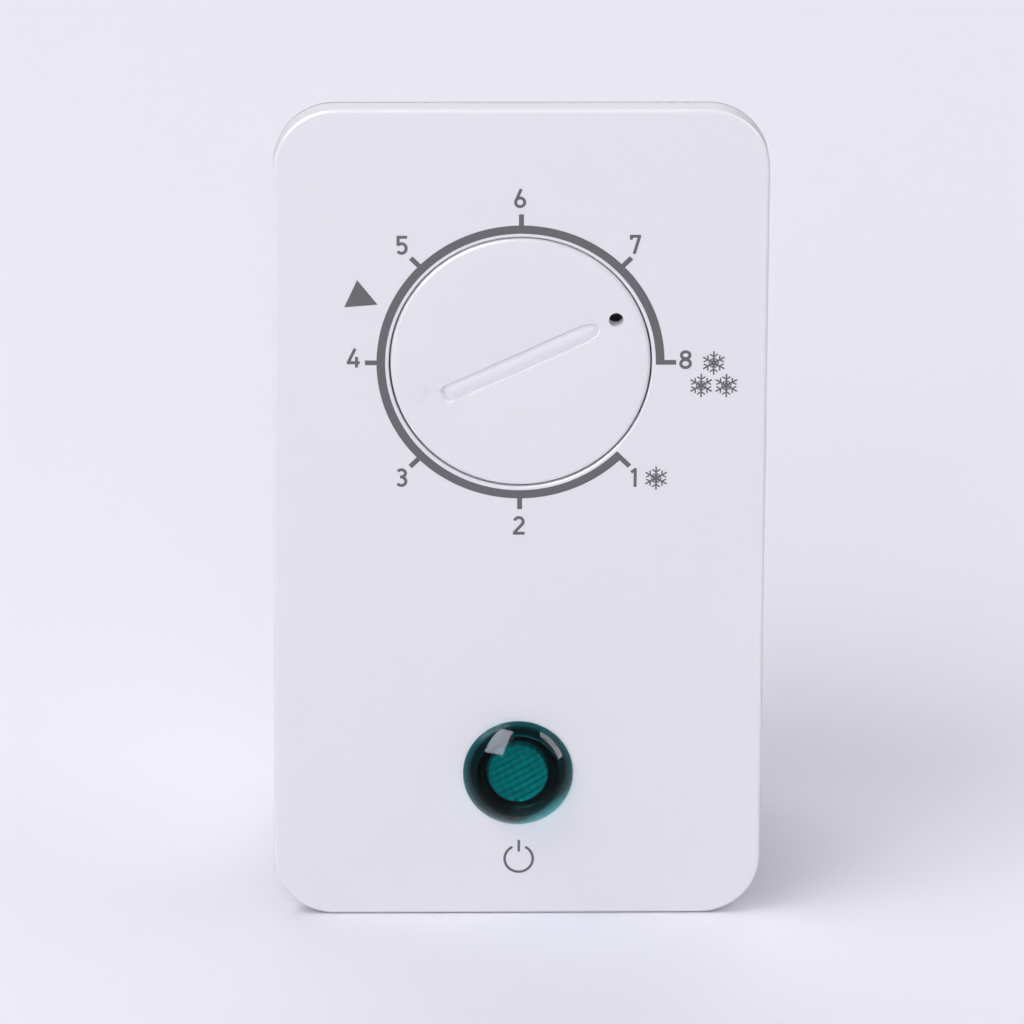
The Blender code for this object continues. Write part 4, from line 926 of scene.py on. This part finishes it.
def box_body(name, depths, wall, edge=0.0):
    """Body of the box, drawn in by `wall`, with its rear edges rounded by `edge`."""
    stations = list(zip((0.0,) * 4, depths, (BOX_TOP, BOX_TOP, BOX_REAR_TOP, BOX_REAR_TOP)))
    if edge:
        stations[-1:] = [
            (inset, depth, BOX_REAR_TOP)
            for inset, depth in reversed(fillet((edge, depths[-1] - edge), edge, 90.0, 6))]
    loops = []
    for inset, depth, top in stations:
        drawn = wall + inset
        width = BOX_WIDTH - 2 * drawn
        height = top - BOX_BOTTOM - 2 * drawn
        outline = rounded_rectangle(width, height, BOX_CORNER - wall, 10, (top + BOX_BOTTOM) / 2.0)
        loops.append((outline, depth))
    return loft(name, loops)


def flange(surfaces):
    """Flat frame of the box that bears on the wall, still without its opening."""
    round_over = 0.3
    width = BOX_HIGH.x - BOX_LOW.x
    height = BOX_HIGH.z - BOX_LOW.z
    loops = []
    for inset, depth in (fillet((round_over, -round_over), round_over, 90.0, 3)
                         + fillet((round_over, -FLANGE + round_over), round_over, 180.0, 3)):
        outline = rounded_rectangle(width - 2 * inset, height - 2 * inset, FLANGE_CORNER - inset, 10)
        loops.append((outline, depth))
    return loft("box_moulding", loops, surfaces["box_white"])


def back_box(surfaces):
    """Deep box with flange, sloping shoulder, side ribs, snap windows, entries and block posts."""
    rear = BOX_HIGH.y
    slope, end = SHOULDER
    box = flange(surfaces)
    additions = [box_body("box_shell", (-FLANGE + 0.5, slope, end, rear), 0.0, BOX_EDGE)]
    for side in (-1, 1):
        for height in RIB_HEIGHTS:
            low, high = sorted((side * (BOX_WIDTH / 2.0 - 0.5), side * (BOX_WIDTH / 2.0 + RIB_RAISE)))
            additions.append(slab(f"rib_{side}_{height}", (low, -0.5, height - RIB_WIDTH / 2.0),
                                  (high, RIB_END, height + RIB_WIDTH / 2.0)))
    weld(box, *additions)
    cut(box, box_body("box_hollow", (-FLANGE - 2.0, slope - 0.8, end - 0.8, rear - BOX_WALL), BOX_WALL))
    tools = []
    for height in CLIP_HEIGHTS:
        tools.append(slab(f"windows_{height}", (-BOX_WIDTH, WINDOW[0], height - WINDOW[2] / 2.0),
                          (BOX_WIDTH, WINDOW[1], height + WINDOW[2] / 2.0)))
    for screw in wall_screw_nodes():
        spot = middle(screw)
        tools.append(turned(f"hole_{screw}", [
            (0.0, -FLANGE - 0.5), (3.7, -FLANGE - 0.5), (3.3, -FLANGE), (1.8, -0.2), (1.8, 1.0), (0.0, 1.0)],
            32, at=flat(spot)))
    for name, spot, radius in (("cable", CABLE_ENTRY, CABLE_HOLE),
                               ("capillary", CAPILLARY_ENTRY, CAPILLARY_HOLE)):
        tools.append(prism(f"{name}_hole", circle(radius, 48), rear - 4.0, rear + 2.0, at=flat(spot)))
    tools += moulding_marks(rear)
    cut(box, *tools)
    spots = [(side * BLOCK_SCREW_X, (BLOCK_LOW.z + BLOCK_HIGH.z) / 2.0) for side in (-1, 1)]
    weld(box, *[prism(f"post_{x}", circle(3.0, 32), BLOCK_HIGH.y + 0.3, rear - 0.5, at=(x, 0.0, z))
                for x, z in spots])
    cut(box, *[prism(f"post_hole_{x}", circle(1.5, 20), BLOCK_HIGH.y - 1.0, rear - 0.6, at=(x, 0.0, z))
               for x, z in spots])
    return seat(box, stands_for=["back_box"])


def moulding_marks(rear):
    """Shallow rings left by ejector pins and a knock-out for a second cable, on the rear face."""
    marks = []
    for x in (-21.0, 21.0):
        for z in (-43.0, 36.0):
            marks.append(ring_tool(f"ejector_{x}_{z}", 2.4, 2.7, rear, 0.12, (x, 0.0, z)))
    marks.append(ring_tool("knock_out", 4.6, 5.2, rear, 0.7, (CABLE_ENTRY.x, 0.0, 16.0)))
    return marks


def ring_tool(name, inner, outer, rear, depth, at):
    profile = [(inner, rear - depth), (outer, rear - depth), (outer, rear + 1.0), (inner, rear + 1.0)]
    return turned(name, profile, 48, at=at)


def wall_screw_nodes():
    return [name for name in frame["nodes"] if name.startswith("wall_screw_")]


def cross_recess(name, reach, width, front, depth, at):
    """Tool for a cross recess, tapering as it goes in."""
    loops = []
    for scale, along in ((1.15, front - 0.5), (1.0, front), (0.45, front + depth)):
        half = width / 2.0 * max(scale, 0.7)
        arm = reach * scale
        quarter = [(half, half), (half, arm), (-half, arm)]
        outline = []
        for turn in range(4):
            outline += turned_about(quarter, 90.0 * turn)
        loops.append((outline, along))
    return loft(name, loops, at=at)


def wall_screws(surfaces):
    """Countersunk screws with cross recesses and real threads."""
    around, rows_per_turn, flank, bluntness = 20, 8, 3.2, 0.04
    for node in wall_screw_nodes():
        low, high = corners(node)
        at = flat(middle(node))
        start, tip = low.y + SCREW_NECK, high.y
        # Each row is a depth and the radius at each step round.
        rows = [(depth, [radius] * around) for radius, depth in (
            (2.72, low.y), (2.8, low.y + 0.12), (1.4, low.y + 1.4), (1.3, start))]
        count = int((tip - start) / THREAD_PITCH * rows_per_turn)
        for row in range(1, count + 1):
            depth = start + (tip - start) * row / count
            taper = max(min(1.0, (tip - depth) / SCREW_POINT), bluntness)
            phases = [(depth / THREAD_PITCH + step / around) % 1.0 for step in range(around)]
            crests = [THREAD_CREST * max(0.0, 1.0 - abs(phase - 0.5) * flank) for phase in phases]
            rows.append((depth, [(THREAD_ROOT + crest) * taper for crest in crests]))
        bm = bmesh.new()
        skin(bm, [[bm.verts.new((at[0] + radius * math.cos(math.tau * step / around), depth,
                                 at[2] + radius * math.sin(math.tau * step / around)))
                   for step, radius in enumerate(radii)] for depth, radii in rows])
        screw = add_piece(f"{node}_threaded", bm, surfaces["zinc_steel"])
        cut(screw, cross_recess(f"{node}_recess", 1.5, 0.7, low.y, 0.9, at))
        seat(screw, stands_for=[node])


def grommet(node, hole, bore, surfaces):
    """Rubber bushing with rolled lips either side of the box's rear wall."""
    low, high = corners(node)
    at = flat(middle(node))
    round_over, bore_edge = 0.8, 0.4
    outer = (high.x - low.x) / 2.0
    neck = hole - 0.3
    near, far = low.y, high.y
    profile = [(bore, near + 0.3), (bore + 0.3, near)]
    profile += fillet((outer - 0.5, near + 0.5), 0.5, 270.0)
    profile += [(outer, near + GROMMET_LIP), (neck, near + GROMMET_LIP),
                (neck, far - GROMMET_LIP), (outer, far - GROMMET_LIP)]
    profile += fillet((outer - round_over, far - round_over), round_over, 0.0, 8)
    profile += fillet((bore + bore_edge, far - bore_edge), bore_edge, 90.0, 4)
    piece = turned(f"{node}_moulding", profile, 64, surfaces["rubber"], at)
    return seat(piece, stands_for=[node])


# ---------------------------------------------------------------- inside the box

def wound(name, points, radius, surface, sides=12):
    """Round wire through a list of points, with closed ends."""
    points = [Vector(point) for point in points]
    bm = bmesh.new()
    rings = []
    across = (points[1] - points[0]).orthogonal()
    for index, point in enumerate(points):
        run = (points[min(index + 1, len(points) - 1)] - points[max(index - 1, 0)]).normalized()
        across = (across - run * across.dot(run)).normalized()
        other = run.cross(across)
        rings.append([bm.verts.new(point + (across * x + other * y) * radius) for x, y in circle(1.0, sides)])
    skin(bm, rings)
    return add_piece(name, bm, surface)


def range_spring(surfaces):
    """Coil between the range lever and the main lever, which stretches as the dial turns."""
    centre = middle("range_spring")
    low, high = corners("range_spring")
    coil = (high.y - low.y) / 2.0 - SPRING_WIRE
    bottom, top = low.z + SPRING_WIRE - SPRING_DROP, high.z - SPRING_WIRE
    start, end = bottom + SPRING_LEAD[0], top - SPRING_LEAD[1]
    hook_end, hook_bend = (SPRING_EYE + 0.5, 0.7), (SPRING_EYE + 0.7, 0.8)
    points = [(-hook_end[0], 0.0, bottom + hook_end[1]), (-SPRING_EYE, 0.0, bottom),
              (SPRING_EYE, 0.0, bottom), (hook_bend[0], 0.0, bottom + hook_bend[1])]
    around = 32
    for step in range(SPRING_TURNS * around + 1):
        angle = math.tau * step / around
        rise = start + (end - start) * step / (SPRING_TURNS * around)
        points.append((coil * math.cos(angle), coil * math.sin(angle), rise))
    points += [(hook_bend[0], 0.0, top - hook_bend[1]), (SPRING_EYE, 0.0, top), (-SPRING_EYE, 0.0, top),
               (-hook_end[0], 0.0, top - hook_end[1])]
    spring = wound("range_spring_coil", [(x + DIAL.x, y + centre.y, z) for x, y, z in points],
                   SPRING_WIRE, surfaces["spring_steel"])
    spring.data.shade_smooth()
    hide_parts("range_spring")
    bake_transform(spring)


# ---------------------------------------------------------------- terminal block's metal

def terminals(surfaces):
    """Brass barrel and clamp screw in each way of the terminal block."""
    centre = middle("terminal_block")
    for way in range(WAYS):
        x = centre.x + (way - (WAYS - 1) / 2.0) * WAY_PITCH
        at = (x, centre.y, 0.0)
        low, high = BLOCK_LOW.z + 1.0, BLOCK_HIGH.z - 1.0
        (bore, outer), edge = BARREL, BARREL_EDGE
        profile = [(bore, low + edge), (bore + edge, low), (outer - edge, low), (outer, low + edge),
                   (outer, high - edge), (outer - edge, high), (bore + edge, high), (bore, high - edge)]
        barrel = turned(f"terminal_barrel_{way + 1}", profile, 36, surfaces["brass"], at, "Z")
        seat(barrel)
        front = BLOCK_LOW.y + 0.8
        end = front + CLAMP_SCREW_LENGTH
        screw = turned(f"clamp_screw_{way + 1}", [
            (0.0, front), (CLAMP_SCREW - 0.15, front), (CLAMP_SCREW, front + 0.15), (CLAMP_SCREW, end - 0.25),
            (CLAMP_SCREW - 0.4, end), (0.0, end)], 28, surfaces["zinc_steel"], (x, 0.0, centre.z))
        slot = slab(f"screw_slot_{way}", (x - 2.0, front - 1.0, centre.z - 0.2),
                    (x + 2.0, front + 0.7, centre.z + 0.2))
        cut(screw, slot)
        seat(screw)


# ---------------------------------------------------------------- stage

CAMERA_LENS = 352.6
CAMERA_SENSOR = 36.0
CAMERA_AZIMUTH = math.radians(-1.4)
CAMERA_ELEVATION = math.radians(19.65)
CAMERA_ROLL = math.radians(0.36)
CAMERA_DISTANCE = 1428.8
CAMERA_SHIFT = (-1.07, 0.77)     # across and up, to frame the panel as seen


def floor():
    """Pale floor just under the part, which its glossy surfaces don't reflect."""
    bm = bmesh.new()
    reach = 6000.0
    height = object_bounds()[0].z / MM - 0.1
    bm.faces.new([bm.verts.new((x, y, height)) for x, y in
                  ((-reach, -reach), (reach, -reach), (reach, reach), (-reach, reach))])
    nodes = Nodes("floor_paint")
    nodes.paint(nodes.noise(600.0), (0.8, 0.79, 0.85), (0.82, 0.81, 0.87))
    nodes.set(Roughness=0.9, Specular_IOR_Level=0.0)
    ground = add_piece("floor", bm, nodes.material)
    ground.visible_glossy = False
    ground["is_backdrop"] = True


LIGHT_COLOUR = (0.985, 0.98, 1.0)


def area_light(name, place, size, power, target):
    """Rectangular light, its place, size and target in metres and its power in watts."""
    data = bpy.data.lights.new(name, "AREA")
    data.shape = "RECTANGLE"
    data.size, data.size_y = size
    data.energy = power
    data.color = LIGHT_COLOUR
    light = bpy.data.objects.new(name, data)
    light.location = place
    light.rotation_euler = (Vector(target) - Vector(place)).to_track_quat("-Z", "Y").to_euler()
    bpy.context.scene.collection.objects.link(light)
    return light


def lighting():
    """Broad soft boxes in front, behind and to the sides, with two cards that show only as reflections."""
    world = bpy.data.worlds.new("studio")
    world.use_nodes = True
    background = world.node_tree.nodes["Background"]
    background.inputs["Color"].default_value = (0.96, 0.955, 1.0, 1.0)
    background.inputs["Strength"].default_value = 0.32
    bpy.context.scene.world = world
    middle_of_panel = (0.0, 0.0, 0.0)
    area_light("key_left", (-1.05, -0.72, 1.55), (1.3, 1.3), 17.0, middle_of_panel)
    area_light("back_fill", (-0.15, 1.15, 1.6), (2.2, 1.2), 16.5, (0.0, 0.25, 0.0))
    front = area_light("front_fill", (-0.55, -2.05, 0.75), (1.6, 1.2), 18.0, middle_of_panel)
    front.visible_glossy = False
    area_light("side_fill", (1.5, 0.1, 0.9), (1.2, 1.2), 5.0, middle_of_panel)
    for card in (area_light("card_left", (-1.2, -0.68, 2.1), (1.35, 2.6), 270.0, (-0.15, 0.91, 1.47)),
                 area_light("card_right", (1.75, 0.04, 1.0), (0.75, 1.8), 56.0, middle_of_panel)):
        card.visible_diffuse = False


def camera():
    """Long lens looking slightly down at the panel, a little from the left."""
    back = Vector((math.sin(CAMERA_AZIMUTH) * math.cos(CAMERA_ELEVATION),
                   -math.cos(CAMERA_AZIMUTH) * math.cos(CAMERA_ELEVATION), math.sin(CAMERA_ELEVATION)))
    level = Vector((0.0, 0.0, 1.0)).cross(back).normalized()
    upright = back.cross(level)
    right = level * math.cos(CAMERA_ROLL) + upright * math.sin(CAMERA_ROLL)
    up = upright * math.cos(CAMERA_ROLL) - level * math.sin(CAMERA_ROLL)
    target = Vector((0.0, PANEL_FRONT, 0.0))
    place = target + back * CAMERA_DISTANCE + right * CAMERA_SHIFT[0] + up * CAMERA_SHIFT[1]
    data = bpy.data.cameras.new("camera")
    data.lens = CAMERA_LENS
    data.sensor_width = CAMERA_SENSOR
    data.clip_start, data.clip_end = 0.05, 50.0
    view = bpy.data.objects.new("camera", data)
    view.matrix_world = Matrix.Translation(place * MM) @ Matrix((right, up, back)).transposed().to_4x4()
    bpy.context.scene.collection.objects.link(view)
    bpy.context.scene.camera = view


def build():
    surfaces = make_surfaces()
    paint_cad_nodes(surfaces)
    front_panel(surfaces)
    rim_shadow_seal(surfaces)
    dial_knob(surfaces)
    scale_ring(surfaces)
    scale_digits(surfaces)
    symbols(surfaces)
    lamp_lens(surfaces)
    lamp_gasket(surfaces)
    lamp_prism(surfaces)
    back_box(surfaces)
    wall_screws(surfaces)
    grommet("cable_grommet", CABLE_HOLE, CABLE_BORE, surfaces)
    grommet("capillary_grommet", CAPILLARY_HOLE, CAPILLARY_BORE, surfaces)
    range_spring(surfaces)
    terminals(surfaces)
    floor()
    lighting()
    camera()
    bpy.context.scene.view_settings.view_transform = "Standard"


build()
